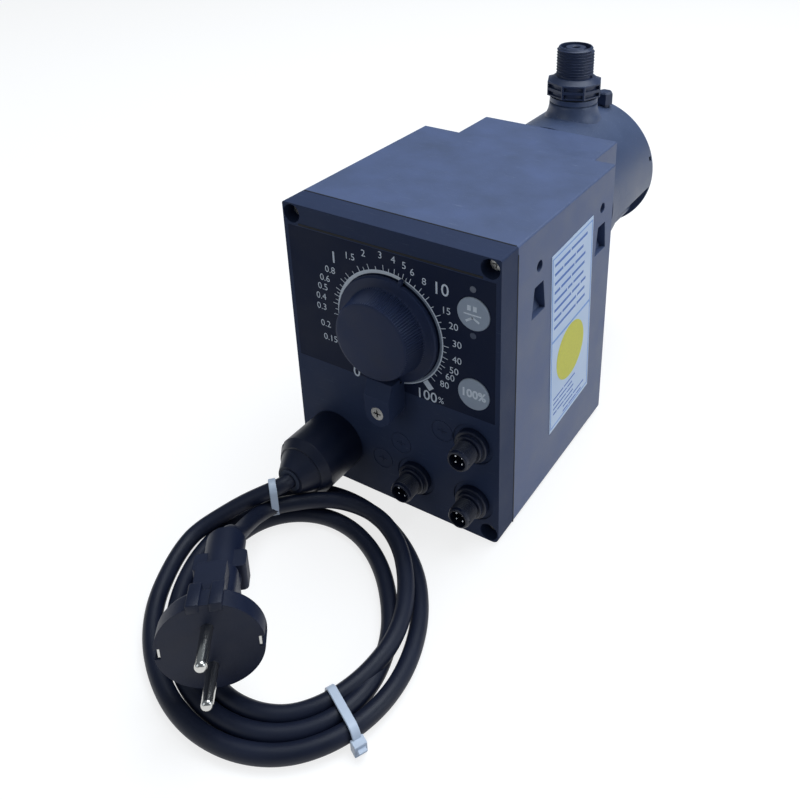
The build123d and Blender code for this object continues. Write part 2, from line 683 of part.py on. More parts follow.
def make_lock():
    front = FRONT_Y - LOCK_PROUD
    back = FRONT_Y
    tongue = lock_outline(front, back)
    slope = make_face(Polyline(
        (front - 1, LOCK_SLOPE_Z),
        (front, LOCK_SLOPE_Z),
        (front + LOCK_SLOPE, LOCK_TOP_Z),
        (front + LOCK_SLOPE, LOCK_TOP_Z + 1),
        (front - 1, LOCK_TOP_Z + 1),
        close=True,
    ))
    slope = Pos(-LOCK_WIDTH, 0, 0) * Rot(0, 0, 90) * Rot(90, 0, 0) * extrude(slope, amount=2 * LOCK_WIDTH)
    tongue -= slope
    skirt_front = FRONT_Y - SKIRT_GAP - SKIRT_THICKNESS
    skirt_room = rod_y(SKIRT_RADIUS + LOCK_SKIRT_GAP, skirt_front - LOCK_SKIRT_GAP, back + 1, 0, DIAL_Z)
    tongue -= skirt_room
    tongue -= cone_y(LOCK_SCREW_HEAD_RADIUS, LOCK_SCREW_RADIUS, front, front + head_cone(), 0, LOCK_SCREW_Z)
    hole = LOCK_SCREW_RADIUS + SCREW_CLEARANCE
    return tongue - rod_y(hole, front, back + 1, 0, LOCK_SCREW_Z)


def head_cone():
    """Height of the lock screw's countersunk head, with flanks at 45 degrees."""
    return LOCK_SCREW_HEAD_RADIUS - LOCK_SCREW_RADIUS


def make_lock_screw():
    front = FRONT_Y - LOCK_PROUD
    head = cone_y(LOCK_SCREW_HEAD_RADIUS, LOCK_SCREW_RADIUS, front, front + head_cone(), 0, LOCK_SCREW_Z)
    shank = rod_y(LOCK_SCREW_RADIUS, front + 0.5, front + LOCK_SCREW_LENGTH, 0, LOCK_SCREW_Z)
    return head + shank - cross_slot(front, 0, LOCK_SCREW_Z, LOCK_SCREW_HEAD_RADIUS)


def make_board():
    half = BOARD_WIDTH / 2
    y1 = BOARD_Y + BOARD_THICKNESS
    board = block(-half, half, BOARD_Y, y1, BOARD_BASE_Z, BOARD_TOP_Z)
    for x, z in BOARD_POSTS:
        board -= rod_y(BOARD_SCREW_RADIUS + SCREW_CLEARANCE, BOARD_Y - 1, y1 + 1, x, z)
    return board


def make_board_screws():
    back = BOARD_Y + BOARD_THICKNESS
    screws = []
    for x, z in BOARD_POSTS:
        head = rod_y(BOARD_SCREW_HEAD_RADIUS, back, back + BOARD_SCREW_HEAD_HEIGHT, x, z)
        shank = rod_y(BOARD_SCREW_RADIUS, back + 0.5 - BOARD_SCREW_LENGTH, back + 0.5, x, z)
        screws.append(head + shank)
    return Compound(children=screws)


# ---------------------------------------------------------------- signal sockets
def make_socket_shell(x, z):
    tip = FRONT_Y - SOCKET_LENGTH
    seat = FRONT_Y + SOCKET_SEAT_DEPTH
    shell = rod_y(SOCKET_THREAD_RADIUS, tip, seat, x, z)
    shell = chamfer(shell.edges().sort_by(Axis.Y)[0], 0.5)
    shell += rod_y(SOCKET_COLLAR_RADIUS, FRONT_Y - SOCKET_COLLAR_LENGTH, seat, x, z)
    shell += rod_y(SOCKET_FLANGE_RADIUS, FRONT_Y - SOCKET_FLANGE_LENGTH, seat, x, z)
    shell += rod_y(SOCKET_SHANK_RADIUS, FRONT_Y, FRONT_Y + SOCKET_SHANK_LENGTH, x, z)
    return shell - rod_y(SOCKET_BORE_RADIUS, tip - 1, FRONT_Y + SOCKET_SHANK_LENGTH + 1, x, z)


def socket_pin_places(x, z):
    for dx, dz in on_circle(SOCKET_PIN_CIRCLE, 4):
        yield x + dx, z + dz


def make_socket_insert(x, z):
    tip = FRONT_Y - SOCKET_LENGTH
    front = tip + SOCKET_CAVITY_DEPTH
    back = FRONT_Y + SOCKET_SHANK_LENGTH
    insert = rod_y(SOCKET_BORE_RADIUS, front, back, x, z)
    half = SOCKET_KEY_WIDTH / 2
    key_base = z + SOCKET_BORE_RADIUS - SOCKET_KEY_DEPTH
    key = block(x - half, x + half, tip + SOCKET_PIN_RECESS, front + 0.5, key_base, z + SOCKET_BORE_RADIUS)
    insert += key & rod_y(SOCKET_BORE_RADIUS, tip, back, x, z)
    for pin_x, pin_z in socket_pin_places(x, z):
        insert -= rod_y(SOCKET_PIN_RADIUS, front - 1, back + 1, pin_x, pin_z)
    return insert


def make_socket_pins(x, z):
    start = FRONT_Y - SOCKET_LENGTH + SOCKET_PIN_RECESS
    pins = []
    for pin_x, pin_z in socket_pin_places(x, z):
        pin = rod_y(SOCKET_PIN_RADIUS, start, BOARD_Y, pin_x, pin_z)
        pins.append(chamfer(pin.edges().sort_by(Axis.Y)[0], SOCKET_PIN_RADIUS / 2))
    return pins


def make_all_inserts():
    return Compound(children=[make_socket_insert(x, z) for x, z in SOCKET_PLACES.values()])


def make_all_pins():
    pins = []
    for x, z in SOCKET_PLACES.values():
        pins.extend(make_socket_pins(x, z))
    return Compound(children=pins)


def make_panel_nuts():
    """Hexagon nuts that hold the sockets and the mains inlet from inside."""
    y0 = FRONT_Y + FACE_WALL
    nuts = []
    for x, z in SOCKET_PLACES.values():
        nut = prism_y(SOCKET_NUT_FLATS, 6, y0, y0 + NUT_THICKNESS, x, z)
        nuts.append(nut - rod_y(SOCKET_SHANK_RADIUS, y0 - 1, y0 + NUT_THICKNESS + 1, x, z))
    nut = prism_y(INLET_NUT_FLATS, 6, y0, y0 + NUT_THICKNESS, INLET_X, INLET_Z)
    nuts.append(nut - rod_y(INLET_SHANK_RADIUS, y0 - 1, y0 + NUT_THICKNESS + 1, INLET_X, INLET_Z))
    return Compound(children=nuts)


# ---------------------------------------------------------------- mains inlet
def inlet_end_y():
    return FRONT_Y - INLET_LENGTH - INLET_RIM_LENGTH


def make_inlet_body():
    rim = FRONT_Y - INLET_LENGTH
    body = rod_y(INLET_RADIUS, rim, FRONT_Y, INLET_X, INLET_Z)
    body += cone_y(INLET_RIM_RADIUS, INLET_RADIUS, inlet_end_y(), rim, INLET_X, INLET_Z)
    body += rod_y(INLET_SHANK_RADIUS, FRONT_Y - 1, FRONT_Y + INLET_SHANK_LENGTH, INLET_X, INLET_Z)
    body -= rod_y(NOSE_SPIGOT_RADIUS, inlet_end_y() - 1, inlet_end_y() + NOSE_SPIGOT_LENGTH, INLET_X, INLET_Z)
    body -= rod_y(CABLE_RADIUS + 1, inlet_end_y(), FRONT_Y + INLET_SHANK_LENGTH + 1, INLET_X, INLET_Z)
    peep = Pos(INLET_X, rim - 0.5, INLET_Z) * Rot(0, -60, 0) * rod_z(
        INLET_PEEP_RADIUS, INLET_RIM_RADIUS - 1.5, INLET_RADIUS + 2, 0, 0)
    return body - peep


def make_inlet_nose():
    start = inlet_end_y()
    tip = start - NOSE_LENGTH
    nose = cone_y(NOSE_TIP_RADIUS, NOSE_BASE_RADIUS, tip, start, INLET_X, INLET_Z)
    nose += rod_y(NOSE_SPIGOT_RADIUS, start - 1, start + NOSE_SPIGOT_LENGTH, INLET_X, INLET_Z)
    return nose - rod_y(LINER_RADIUS, tip - 1, start + NOSE_SPIGOT_LENGTH + 1, INLET_X, INLET_Z)


def make_inlet_liner():
    tip = inlet_end_y() - NOSE_LENGTH - LINER_PROUD
    return tube_y(LINER_RADIUS, CABLE_RADIUS, tip, inlet_end_y() + NOSE_SPIGOT_LENGTH, INLET_X, INLET_Z)


# ---------------------------------------------------------------- drive
def involute(base_radius, radius):
    """Angle that the involute has turned through at a radius."""
    ratio = max(radius / base_radius, 1.0)
    return math.sqrt(ratio ** 2 - 1) - math.acos(1 / ratio)


def gear_face(teeth):
    """Outline of an involute spur gear with a tooth centred on +X."""
    pitch_radius = GEAR_MODULE * teeth / 2
    base_radius = pitch_radius * math.cos(math.radians(PRESSURE_ANGLE))
    tip_radius = pitch_radius + GEAR_ADDENDUM * GEAR_MODULE
    root_radius = pitch_radius - GEAR_DEDENDUM * GEAR_MODULE
    half_tooth = (math.pi * GEAR_MODULE / 2 - GEAR_BACKLASH / 2) / (2 * pitch_radius)
    pitch_turn = involute(base_radius, pitch_radius)
    flank_start = max(base_radius, root_radius)
    steps = 3
    flank = []
    for step in range(steps + 1):
        radius = flank_start + (tip_radius - flank_start) * step / steps
        flank.append((radius, half_tooth + pitch_turn - involute(base_radius, radius)))
    if root_radius < base_radius:
        flank.insert(0, (root_radius, flank[0][1]))
    points = []
    for tooth in range(teeth):
        middle = 2 * math.pi * tooth / teeth
        for radius, turn in flank:
            points.append((radius, middle - turn))
        for radius, turn in reversed(flank):
            points.append((radius, middle + turn))
    outline = [(radius * math.cos(angle), radius * math.sin(angle)) for radius, angle in points]
    return make_face(Polyline(*outline, close=True))


def spur_gear(teeth, x0, width, z, turn):
    """Gear on an axis along X; its first tooth points at turn degrees from +Y towards +Z."""
    gear = Rot(0, 0, turn) * extrude(gear_face(teeth), amount=width)
    return Pos(x0, SHAFT_Y, z) * Rot(0, 0, 90) * Rot(90, 0, 0) * gear


def make_drive_gear():
    gear = spur_gear(GEAR_TEETH, GEAR_X, GEAR_WIDTH, HEAD_Z, -90)
    pitch_radius = GEAR_MODULE * GEAR_TEETH / 2
    rim = pitch_radius - 4
    hub = ECCENTRIC_SHAFT_RADIUS + 5
    for x0 in (GEAR_X - 1, GEAR_X + GEAR_WIDTH - GEAR_WEB_DEPTH):
        groove = rod_x(rim, x0, x0 + GEAR_WEB_DEPTH + 1, SHAFT_Y, HEAD_Z)
        gear -= groove - rod_x(hub, x0 - 1, x0 + GEAR_WEB_DEPTH + 2, SHAFT_Y, HEAD_Z)
    return gear - rod_x(ECCENTRIC_SHAFT_RADIUS, GEAR_X - 1, GEAR_X + GEAR_WIDTH + 1, SHAFT_Y, HEAD_Z)


def make_pinion():
    width = GEAR_WIDTH + 2 * PINION_EXTRA
    x0 = GEAR_X - PINION_EXTRA
    pinion = spur_gear(PINION_TEETH, x0, width, MOTOR_Z, 90 + 180 / PINION_TEETH)
    return pinion - rod_x(MOTOR_SHAFT_RADIUS, x0 - 1, x0 + width + 1, SHAFT_Y, MOTOR_Z)


def make_motor_shaft():
    end = GEAR_X + GEAR_WIDTH + PINION_EXTRA + 2
    return rod_x(MOTOR_SHAFT_RADIUS, LEFT_CHEEK_X - 10, end, SHAFT_Y, MOTOR_Z)


def make_motor():
    half = MOTOR_SIZE / 2
    body = block(LEFT_CHEEK_X - MOTOR_LENGTH, LEFT_CHEEK_X, SHAFT_Y - half, SHAFT_Y + half,
                 MOTOR_Z - half, MOTOR_Z + half)
    body = chamfer(body.edges().filter_by(Axis.X), MOTOR_CORNER)
    body += rod_x(MOTOR_PILOT_RADIUS, LEFT_CHEEK_X - 1, LEFT_CHEEK_X + MOTOR_PILOT_LENGTH, SHAFT_Y, MOTOR_Z)
    bore = MOTOR_SHAFT_RADIUS + RUNNING_CLEARANCE
    body -= rod_x(bore, LEFT_CHEEK_X - 10.2, LEFT_CHEEK_X + MOTOR_PILOT_LENGTH + 1, SHAFT_Y, MOTOR_Z)
    for y, z in motor_screw_places():
        hole = MOTOR_SCREW_RADIUS + SCREW_CLEARANCE
        body -= rod_x(hole, LEFT_CHEEK_X - MOTOR_SCREW_GRIP - 0.5, LEFT_CHEEK_X + 1, y, z)
    return body


def motor_screw_places():
    half = MOTOR_SCREW_SPACING / 2
    for dy in (-half, half):
        for dz in (-half, half):
            yield SHAFT_Y + dy, MOTOR_Z + dz


def make_motor_screws():
    seat = LEFT_CHEEK_X + BEARING_WIDTH
    screws = []
    for y, z in motor_screw_places():
        head = rod_x(MOTOR_SCREW_HEAD_RADIUS, seat, seat + MOTOR_SCREW_HEAD_HEIGHT, y, z)
        shank = rod_x(MOTOR_SCREW_RADIUS, LEFT_CHEEK_X - MOTOR_SCREW_GRIP, seat + 0.5, y, z)
        screws.append(head + shank)
    return Compound(children=screws)


def make_eccentric_shaft():
    start = LEFT_CHEEK_X
    end = RIGHT_CHEEK_X + BEARING_WIDTH
    shaft = rod_x(ECCENTRIC_SHAFT_RADIUS, start, end, SHAFT_Y, HEAD_Z)
    half = ECCENTRIC_WIDTH / 2
    return shaft + rod_x(ECCENTRIC_RADIUS, -half, half, ECCENTRIC_Y, HEAD_Z)


def make_eccentric_bearing():
    half = ECCENTRIC_WIDTH / 2
    ring = rod_x(ECCENTRIC_BEARING_RADIUS, -half, half, ECCENTRIC_Y, HEAD_Z)
    return ring - rod_x(ECCENTRIC_RADIUS, -half - 1, half + 1, ECCENTRIC_Y, HEAD_Z)


def make_shaft_bearings():
    bearings = []
    for x0 in (LEFT_CHEEK_X, RIGHT_CHEEK_X):
        x1 = x0 + BEARING_WIDTH
        ring = rod_x(BEARING_RADIUS, x0, x1, SHAFT_Y, HEAD_Z)
        bore = ECCENTRIC_SHAFT_RADIUS + RUNNING_CLEARANCE
        bearings.append(ring - rod_x(bore, x0 - 1, x1 + 1, SHAFT_Y, HEAD_Z))
    return Compound(children=bearings)


def drive_screw_places():
    for x in (-DRIVE_SCREW_X, DRIVE_SCREW_X):
        for z in (HEAD_Z - DRIVE_SCREW_DROP, HEAD_Z + DRIVE_SCREW_DROP):
            yield x, z


def make_drive_frame():
    half = BACK_PLATE_WIDTH / 2
    plate = block(-half, half, PLATE_Y, WALL_INNER_Y, CHEEK_BASE_Z, BACK_PLATE_TOP_Z)
    plate -= rod_y(ROD_RADIUS + ROD_HOLE_CLEARANCE, PLATE_Y - 1, WALL_INNER_Y + 1, 0, HEAD_Z)
    for x, z in drive_screw_places():
        plate -= rod_y(DRIVE_SCREW_RADIUS + SCREW_CLEARANCE, PLATE_Y - 1, WALL_INNER_Y + 1, x, z)
    left_end = LEFT_CHEEK_X + BEARING_WIDTH
    left = block(LEFT_CHEEK_X, left_end, CHEEK_FRONT_Y, PLATE_Y, CHEEK_BASE_Z, CHEEK_TOP_Z)
    left -= rod_x(BEARING_RADIUS, LEFT_CHEEK_X - 1, left_end + 1, SHAFT_Y, HEAD_Z)
    pilot = MOTOR_PILOT_RADIUS + RUNNING_CLEARANCE
    left -= rod_x(pilot, LEFT_CHEEK_X - 1, left_end + 1, SHAFT_Y, MOTOR_Z)
    for y, z in motor_screw_places():
        left -= rod_x(MOTOR_SCREW_RADIUS + SCREW_CLEARANCE, LEFT_CHEEK_X - 1, left_end + 1, y, z)
    right_end = RIGHT_CHEEK_X + BEARING_WIDTH
    right = block(RIGHT_CHEEK_X, right_end, CHEEK_FRONT_Y, PLATE_Y, RIGHT_CHEEK_BASE_Z, CHEEK_TOP_Z)
    right -= rod_x(BEARING_RADIUS, RIGHT_CHEEK_X - 1, right_end + 1, SHAFT_Y, HEAD_Z)
    return plate + left + right


def make_drive_screws():
    screws = []
    for x, z in drive_screw_places():
        head = rod_y(DRIVE_SCREW_HEAD_RADIUS, PLATE_Y - DRIVE_SCREW_HEAD_HEIGHT, PLATE_Y, x, z)
        shank = rod_y(DRIVE_SCREW_RADIUS, PLATE_Y - 0.5, PLATE_Y + DRIVE_SCREW_LENGTH, x, z)
        screws.append(head + shank)
    return Compound(children=screws)


def make_connecting_rod():
    inner_y = ECCENTRIC_BEARING_RADIUS + YOKE_CLEARANCE
    inner_z = ECCENTRIC_BEARING_RADIUS + STROKE / 2 + YOKE_SIDE_CLEARANCE
    outer_y = inner_y + YOKE_WALL
    outer_z = inner_z + YOKE_WALL
    half = YOKE_THICKNESS / 2
    yoke = block(-half, half, ECCENTRIC_Y - outer_y, ECCENTRIC_Y + outer_y, HEAD_Z - outer_z, HEAD_Z + outer_z)
    yoke = fillet(yoke.edges().filter_by(Axis.X), YOKE_WALL)
    window = block(-half - 1, half + 1, ECCENTRIC_Y - inner_y, ECCENTRIC_Y + inner_y,
                   HEAD_Z - inner_z, HEAD_Z + inner_z)
    rod = rod_y(ROD_RADIUS, ECCENTRIC_Y + outer_y - 1, HEAD_FACE_Y - CORE_BACK, 0, HEAD_Z)
    return yoke - window + rod


def make_rod_guide():
    start = REAR_Y + GUIDE_INSET
    return tube_y(GUIDE_RADIUS, ROD_RADIUS + RUNNING_CLEARANCE, start, start + GUIDE_LENGTH, 0, HEAD_Z)


# ---------------------------------------------------------------- drive flange and dosing head
def head_screw_places():
    for dx, dz in on_circle(HEAD_SCREW_CIRCLE, 4):
        yield dx, HEAD_Z + dz


def make_drive_flange():
    half = FLANGE_SIZE / 2
    flange = block(-half, half, REAR_Y, HEAD_FACE_Y, HEAD_Z - half, HEAD_Z + half)
    long_edges = flange.edges().filter_by(Axis.Y).sort_by(Axis.Z)
    flange = fillet(long_edges[:2], FLANGE_BASE_RADIUS)
    long_edges = flange.edges().filter_by(Axis.Y).sort_by(Axis.Z)
    flange = fillet(long_edges[-2:], FLANGE_EDGE_RADIUS)
    guide_start = REAR_Y + GUIDE_INSET
    flange -= rod_y(ROD_RADIUS + ROD_HOLE_CLEARANCE, REAR_Y - 1, HEAD_FACE_Y + 1, 0, HEAD_Z)
    flange -= rod_y(GUIDE_RADIUS, guide_start, HEAD_FACE_Y + 1, 0, HEAD_Z)
    chamber_start = HEAD_FACE_Y - DRY_CHAMBER_DEPTH
    flange -= rod_y(DRY_CHAMBER_RADIUS, chamber_start, HEAD_FACE_Y + 1, 0, HEAD_Z)
    drain_y = HEAD_FACE_Y - DRY_CHAMBER_DEPTH / 2
    flange -= rod_z(DRAIN_RADIUS, HEAD_Z - half - 1, HEAD_Z - DRY_CHAMBER_RADIUS + 2, 0, drain_y)
    for x, z in drive_screw_places():
        end = PLATE_Y + DRIVE_SCREW_LENGTH + 1
        flange -= rod_y(DRIVE_SCREW_RADIUS + SCREW_CLEARANCE, REAR_Y - 1, end, x, z)
    for x, z in head_screw_places():
        start = HEAD_FACE_Y - HEAD_SCREW_BITE - 1
        flange -= rod_y(HEAD_SCREW_RADIUS + SCREW_CLEARANCE, start, HEAD_FACE_Y + 1, x, z)
    return flange


def make_diaphragm():
    y1 = HEAD_FACE_Y + DIAPHRAGM_THICKNESS
    return tube_y(DIAPHRAGM_RADIUS, CORE_RADIUS + CORE_GAP, HEAD_FACE_Y, y1, 0, HEAD_Z)


def make_diaphragm_core():
    front = HEAD_FACE_Y + DIAPHRAGM_THICKNESS + CORE_FRONT
    core = rod_y(CORE_RADIUS, HEAD_FACE_Y - CORE_BACK, front, 0, HEAD_Z)
    return fillet(core.edges().sort_by(Axis.Y)[-1], CORE_FRONT)


def valve_neck(side):
    """Neck that carries a valve, above the head for side 1 and below it for side -1."""
    end = HEAD_Z + side * NECK_REACH
    return rod_z(NECK_RADIUS, min(HEAD_Z, end), max(HEAD_Z, end), 0, VALVE_Y)


def make_head_body():
    flange_end = COVER_FRONT_Y
    core_end = COVER_BACK_Y - COVER_BACK
    body = rod_y(HEAD_RADIUS, HEAD_FACE_Y, flange_end, 0, HEAD_Z)
    body += rod_y(HEAD_CORE_RADIUS, flange_end - 1, core_end, 0, HEAD_Z)
    body += valve_neck(1) + valve_neck(-1)
    seat_end = HEAD_FACE_Y + DIAPHRAGM_THICKNESS
    body -= rod_y(DIAPHRAGM_RADIUS, HEAD_FACE_Y - 1, seat_end, 0, HEAD_Z)
    chamber_end = seat_end + WET_CHAMBER_DEPTH
    body -= cone_y(WET_CHAMBER_RADIUS, WET_CHAMBER_RADIUS - 2, seat_end - 0.01, chamber_end, 0, HEAD_Z)
    for side in (-1, 1):
        channel_z = HEAD_Z + side * CHANNEL_OFFSET
        body -= rod_y(PORT_RADIUS, chamber_end - 1, VALVE_Y, 0, channel_z)
        bore_end = HEAD_Z + side * (NECK_REACH - VALVE_SHANK_LENGTH)
        start = channel_z - side * (PORT_RADIUS + 1)
        body -= rod_z(CHANNEL_RADIUS, min(start, bore_end), max(start, bore_end), 0, VALVE_Y)
        mouth = HEAD_Z + side * (NECK_REACH + 1)
        bore = VALVE_SHANK_RADIUS + VALVE_SHANK_CLEARANCE
        body -= rod_z(bore, min(bore_end, mouth), max(bore_end, mouth), 0, VALVE_Y)
    for x, z in head_screw_places():
        body -= rod_y(HEAD_SCREW_RADIUS + SCREW_CLEARANCE, HEAD_FACE_Y - 1, flange_end + 1, x, z)
    vent_bottom = vent_seat_z() - VENT_DEPTH
    body -= rod_z(VENT_SHANK_RADIUS + RUNNING_CLEARANCE, vent_bottom, HEAD_Z + HEAD_RADIUS, VENT_X, VENT_Y)
    return body


def vent_seat_z():
    """Height at which the vent screw enters the head body's round flank."""
    return HEAD_Z + math.sqrt(HEAD_CORE_RADIUS ** 2 - VENT_X ** 2)


def make_head_cover():
    inner_back = COVER_BACK_Y - COVER_BACK
    cover = rod_y(HEAD_RADIUS, COVER_FRONT_Y, COVER_BACK_Y, 0, HEAD_Z)
    cover = fillet(cover.edges().sort_by(Axis.Y)[-1], COVER_EDGE_RADIUS)
    cover -= rod_y(HEAD_RADIUS - COVER_WALL, COVER_FRONT_Y - 1, inner_back, 0, HEAD_Z)
    reach = HEAD_RADIUS + 1
    cover -= block(-reach, reach, COVER_FRONT_Y - 1, inner_back, HEAD_Z - reach, COVER_HEM_Z)
    for x, z in head_screw_places():
        cover += rod_y(COVER_POST_RADIUS, COVER_FRONT_Y, inner_back + 1, x, z)
    cover -= rod_z(NECK_RADIUS + NECK_HOLE_CLEARANCE, HEAD_Z, HEAD_Z + reach, 0, VALVE_Y)
    cover -= rod_z(VENT_SHANK_RADIUS + VENT_HOLE_CLEARANCE, HEAD_Z, HEAD_Z + reach, VENT_X, VENT_Y)
    for x, z in head_screw_places():
        sink = COVER_BACK_Y - HEAD_SCREW_HEAD_HEIGHT - 0.5
        cover -= rod_y(HEAD_SCREW_RADIUS + SCREW_CLEARANCE, COVER_FRONT_Y - 1, COVER_BACK_Y, x, z)
        cover -= rod_y(HEAD_SCREW_HEAD_RADIUS + COUNTERBORE_CLEARANCE, sink, COVER_BACK_Y + 1, x, z)
    slot = block(HEAD_RADIUS - COVER_WALL - 1, HEAD_RADIUS + 1, -COVER_SLOT_SIZE / 2, COVER_SLOT_SIZE / 2,
                 -COVER_SLOT_SIZE / 2, COVER_SLOT_SIZE / 2)
    slot_y = inner_back - COVER_SLOT_SIZE / 2
    for side in (-1, 1):
        turn = -COVER_SLOT_ANGLE if side > 0 else COVER_SLOT_ANGLE - 180
        cover -= Pos(0, slot_y, HEAD_Z) * Rot(0, turn, 0) * slot
    return cover


def make_head_screws():
    seat = COVER_BACK_Y - HEAD_SCREW_HEAD_HEIGHT - 0.5
    screws = []
    for x, z in head_screw_places():
        head = rod_y(HEAD_SCREW_HEAD_RADIUS, seat, seat + HEAD_SCREW_HEAD_HEIGHT, x, z)
        shank = rod_y(HEAD_SCREW_RADIUS, HEAD_FACE_Y - HEAD_SCREW_BITE, seat + 0.5, x, z)
        top = seat + HEAD_SCREW_HEAD_HEIGHT
        key = prism_y(HEX_KEY_FLATS, 6, top - HEX_KEY_DEPTH, top + 1, x, z)
        screws.append(head + shank - key)
    return Compound(children=screws)


def make_vent_screw():
    surface = HEAD_Z + math.sqrt(HEAD_RADIUS ** 2 - (VENT_X - VENT_HEAD_RADIUS) ** 2)
    base = surface + VENT_HEAD_GAP
    head = Pos(VENT_X, VENT_Y, base) * extrude(RegularPolygon(VENT_HEAD_RADIUS, 6), amount=VENT_HEAD_HEIGHT)
    head = chamfer(head.edges().group_by(Axis.Z)[-1], 1.0)
    return head + rod_z(VENT_SHANK_RADIUS, vent_seat_z() - VENT_DEPTH + 0.5, base + 1, VENT_X, VENT_Y)


# ---------------------------------------------------------------- valves
def valve_body_upright():
    """Discharge valve body on the Z axis; its shank's end lies at z = 0."""
    nut_base = VALVE_SHANK_LENGTH + GASKET_THICKNESS
    nut_top = nut_base + VALVE_NUT_HEIGHT
    end = VALVE_END - NECK_REACH + VALVE_SHANK_LENGTH
    body = rod_z(VALVE_SHANK_RADIUS, 0, nut_base + 1, 0, 0)
    corner = NUT_FLATS / 2 / math.cos(math.pi / 8)
    body += Pos(0, 0, nut_base) * extrude(RegularPolygon(corner, 8), amount=VALVE_NUT_HEIGHT)
    body += Pos(0, 0, nut_top + VALVE_CONE_HEIGHT / 2) * Cone(
        NUT_FLATS / 2 - 0.3, VALVE_CONE_TOP_RADIUS, VALVE_CONE_HEIGHT)
    for face in range(8):
        for row in (0.3, 0.72):
            middle = nut_base + row * VALVE_NUT_HEIGHT
            window = block(NUT_FLATS / 2 - VALVE_WINDOW_DEPTH, NUT_FLATS / 2 + 1,
                           -VALVE_WINDOW_WIDTH / 2, VALVE_WINDOW_WIDTH / 2,
                           middle - VALVE_WINDOW_HEIGHT / 2, middle + VALVE_WINDOW_HEIGHT / 2)
            body -= Rot(0, 0, 22.5 + 45 * face) * window
    thread = rod_z(VALVE_THREAD_RADIUS, nut_top, end, 0, 0)
    body += chamfer(thread.edges().sort_by(Axis.Z)[-1], 1.2)
    mouth = rod_z(VALVE_MOUTH_RADIUS, end - VALVE_MOUTH_DEPTH, end + 1, 0, 0)
    body -= mouth - rod_z(NIPPLE_RADIUS, 0, end - 0.6, 0, 0)
    return body - rod_z(FLOW_RADIUS, -1, end + 1, 0, 0)


def make_discharge_body():
    """The ball chamber opens towards the head, so the ball lies on a seat at the shank's end."""
    body = valve_body_upright() - rod_z(BALL_CHAMBER_RADIUS, -1, BALL_CHAMBER_LENGTH, 0, 0)
    return Pos(0, VALVE_Y, HEAD_Z + NECK_REACH - VALVE_SHANK_LENGTH) * body


def make_suction_body():
    """The same body turned over; its seat is at the chamber's lower end."""
    body = valve_body_upright() - rod_z(BALL_CHAMBER_RADIUS, -1, BALL_CHAMBER_LENGTH, 0, 0)
    return Pos(0, VALVE_Y, HEAD_Z - NECK_REACH + VALVE_SHANK_LENGTH) * Rot(180, 0, 0) * body


def seat_base_z(side):
    """Underside of a valve's seat ring."""
    if side > 0:
        return HEAD_Z + NECK_REACH - VALVE_SHANK_LENGTH
    return HEAD_Z - NECK_REACH + VALVE_SHANK_LENGTH - BALL_CHAMBER_LENGTH


def make_seat(side):
    base = seat_base_z(side)
    ring = rod_z(BALL_CHAMBER_RADIUS, base, base + SEAT_THICKNESS, 0, VALVE_Y)
    return ring - rod_z(FLOW_RADIUS, base - 1, base + SEAT_THICKNESS + 1, 0, VALVE_Y)


def make_ball(side):
    rise = math.sqrt(BALL_RADIUS ** 2 - FLOW_RADIUS ** 2) + BALL_SEAT_GAP
    return Pos(0, VALVE_Y, seat_base_z(side) + SEAT_THICKNESS + rise) * Sphere(BALL_RADIUS)


def make_gasket(side):
    start = HEAD_Z + side * NECK_REACH
    end = start + side * GASKET_THICKNESS
    z0, z1 = min(start, end), max(start, end)
    return rod_z(GASKET_RADIUS, z0, z1, 0, VALVE_Y) - rod_z(VALVE_SHANK_RADIUS, z0 - 1, z1 + 1, 0, VALVE_Y)


# ---------------------------------------------------------------- mains lead
def corner_radii(points, label):
    """Largest tangent arc for each corner of a route: 0.45 of its shorter run."""
    vectors = [Vector(*point) for point in points]
    radii = []
    for before, corner, after in zip(vectors, vectors[1:], vectors[2:]):
        run_in = corner - before
        run_out = after - corner
        turn = math.radians(run_in.get_angle(run_out))
        radii.append(0.45 * min(run_in.length, run_out.length) / math.tan(turn / 2))
    print(label, "radii", [round(radius, 1) for radius in radii])
    return radii


def cable_tube(points, label):
    path = FilletPolyline(*points, radius=corner_radii(points, label))
    start = Plane(origin=points[0], z_dir=Vector(*points[1]) - Vector(*points[0]))
    tube = sweep(start * Circle(CABLE_RADIUS), path=path)
    share = tube.volume / (math.pi * CABLE_RADIUS ** 2 * path.length)
    print(label, "length", round(path.length, 1), "volume share", round(share, 4))
    return tube


def inlet_run_points():
    """Route from inside the inlet's nose to the coil."""
    tip = inlet_end_y() - NOSE_LENGTH
    return [(INLET_X, tip + LINER_GRIP, INLET_Z), (INLET_X, tip - INLET_STRAIGHT, INLET_Z)] + INLET_RUN


def plug_run_points():
    """Route from the coil to the plug."""
    ends = []
    for distance in (PLUG_LENGTH + PLUG_STRAIGHT, PLUG_LENGTH):
        point = plug_place() * Pos(-distance, 0, 0)
        ends.append(tuple(point.position))
    return PLUG_RUN + ends


def plug_place():
    """Plug's own frame: X points out of the pin face and the pins lie on Z."""
    ridge_top = 2 * CABLE_RADIUS + RIDGE_HEIGHT
    z = ridge_top + PLUG_REST_GAP + PLUG_DISC_RADIUS * math.cos(math.radians(PLUG_TILT))
    return Pos(*PLUG_FACE_PLACE, z) * Rot(0, 0, PLUG_ANGLE) * Rot(0, -PLUG_TILT, 0)


def coil_ellipse(inset, height):
    return Pos(*COIL_CENTRE, 0) * Rot(0, 0, COIL_ANGLE) * extrude(
        Ellipse(COIL_LONG - inset, COIL_SHORT - inset), amount=height)


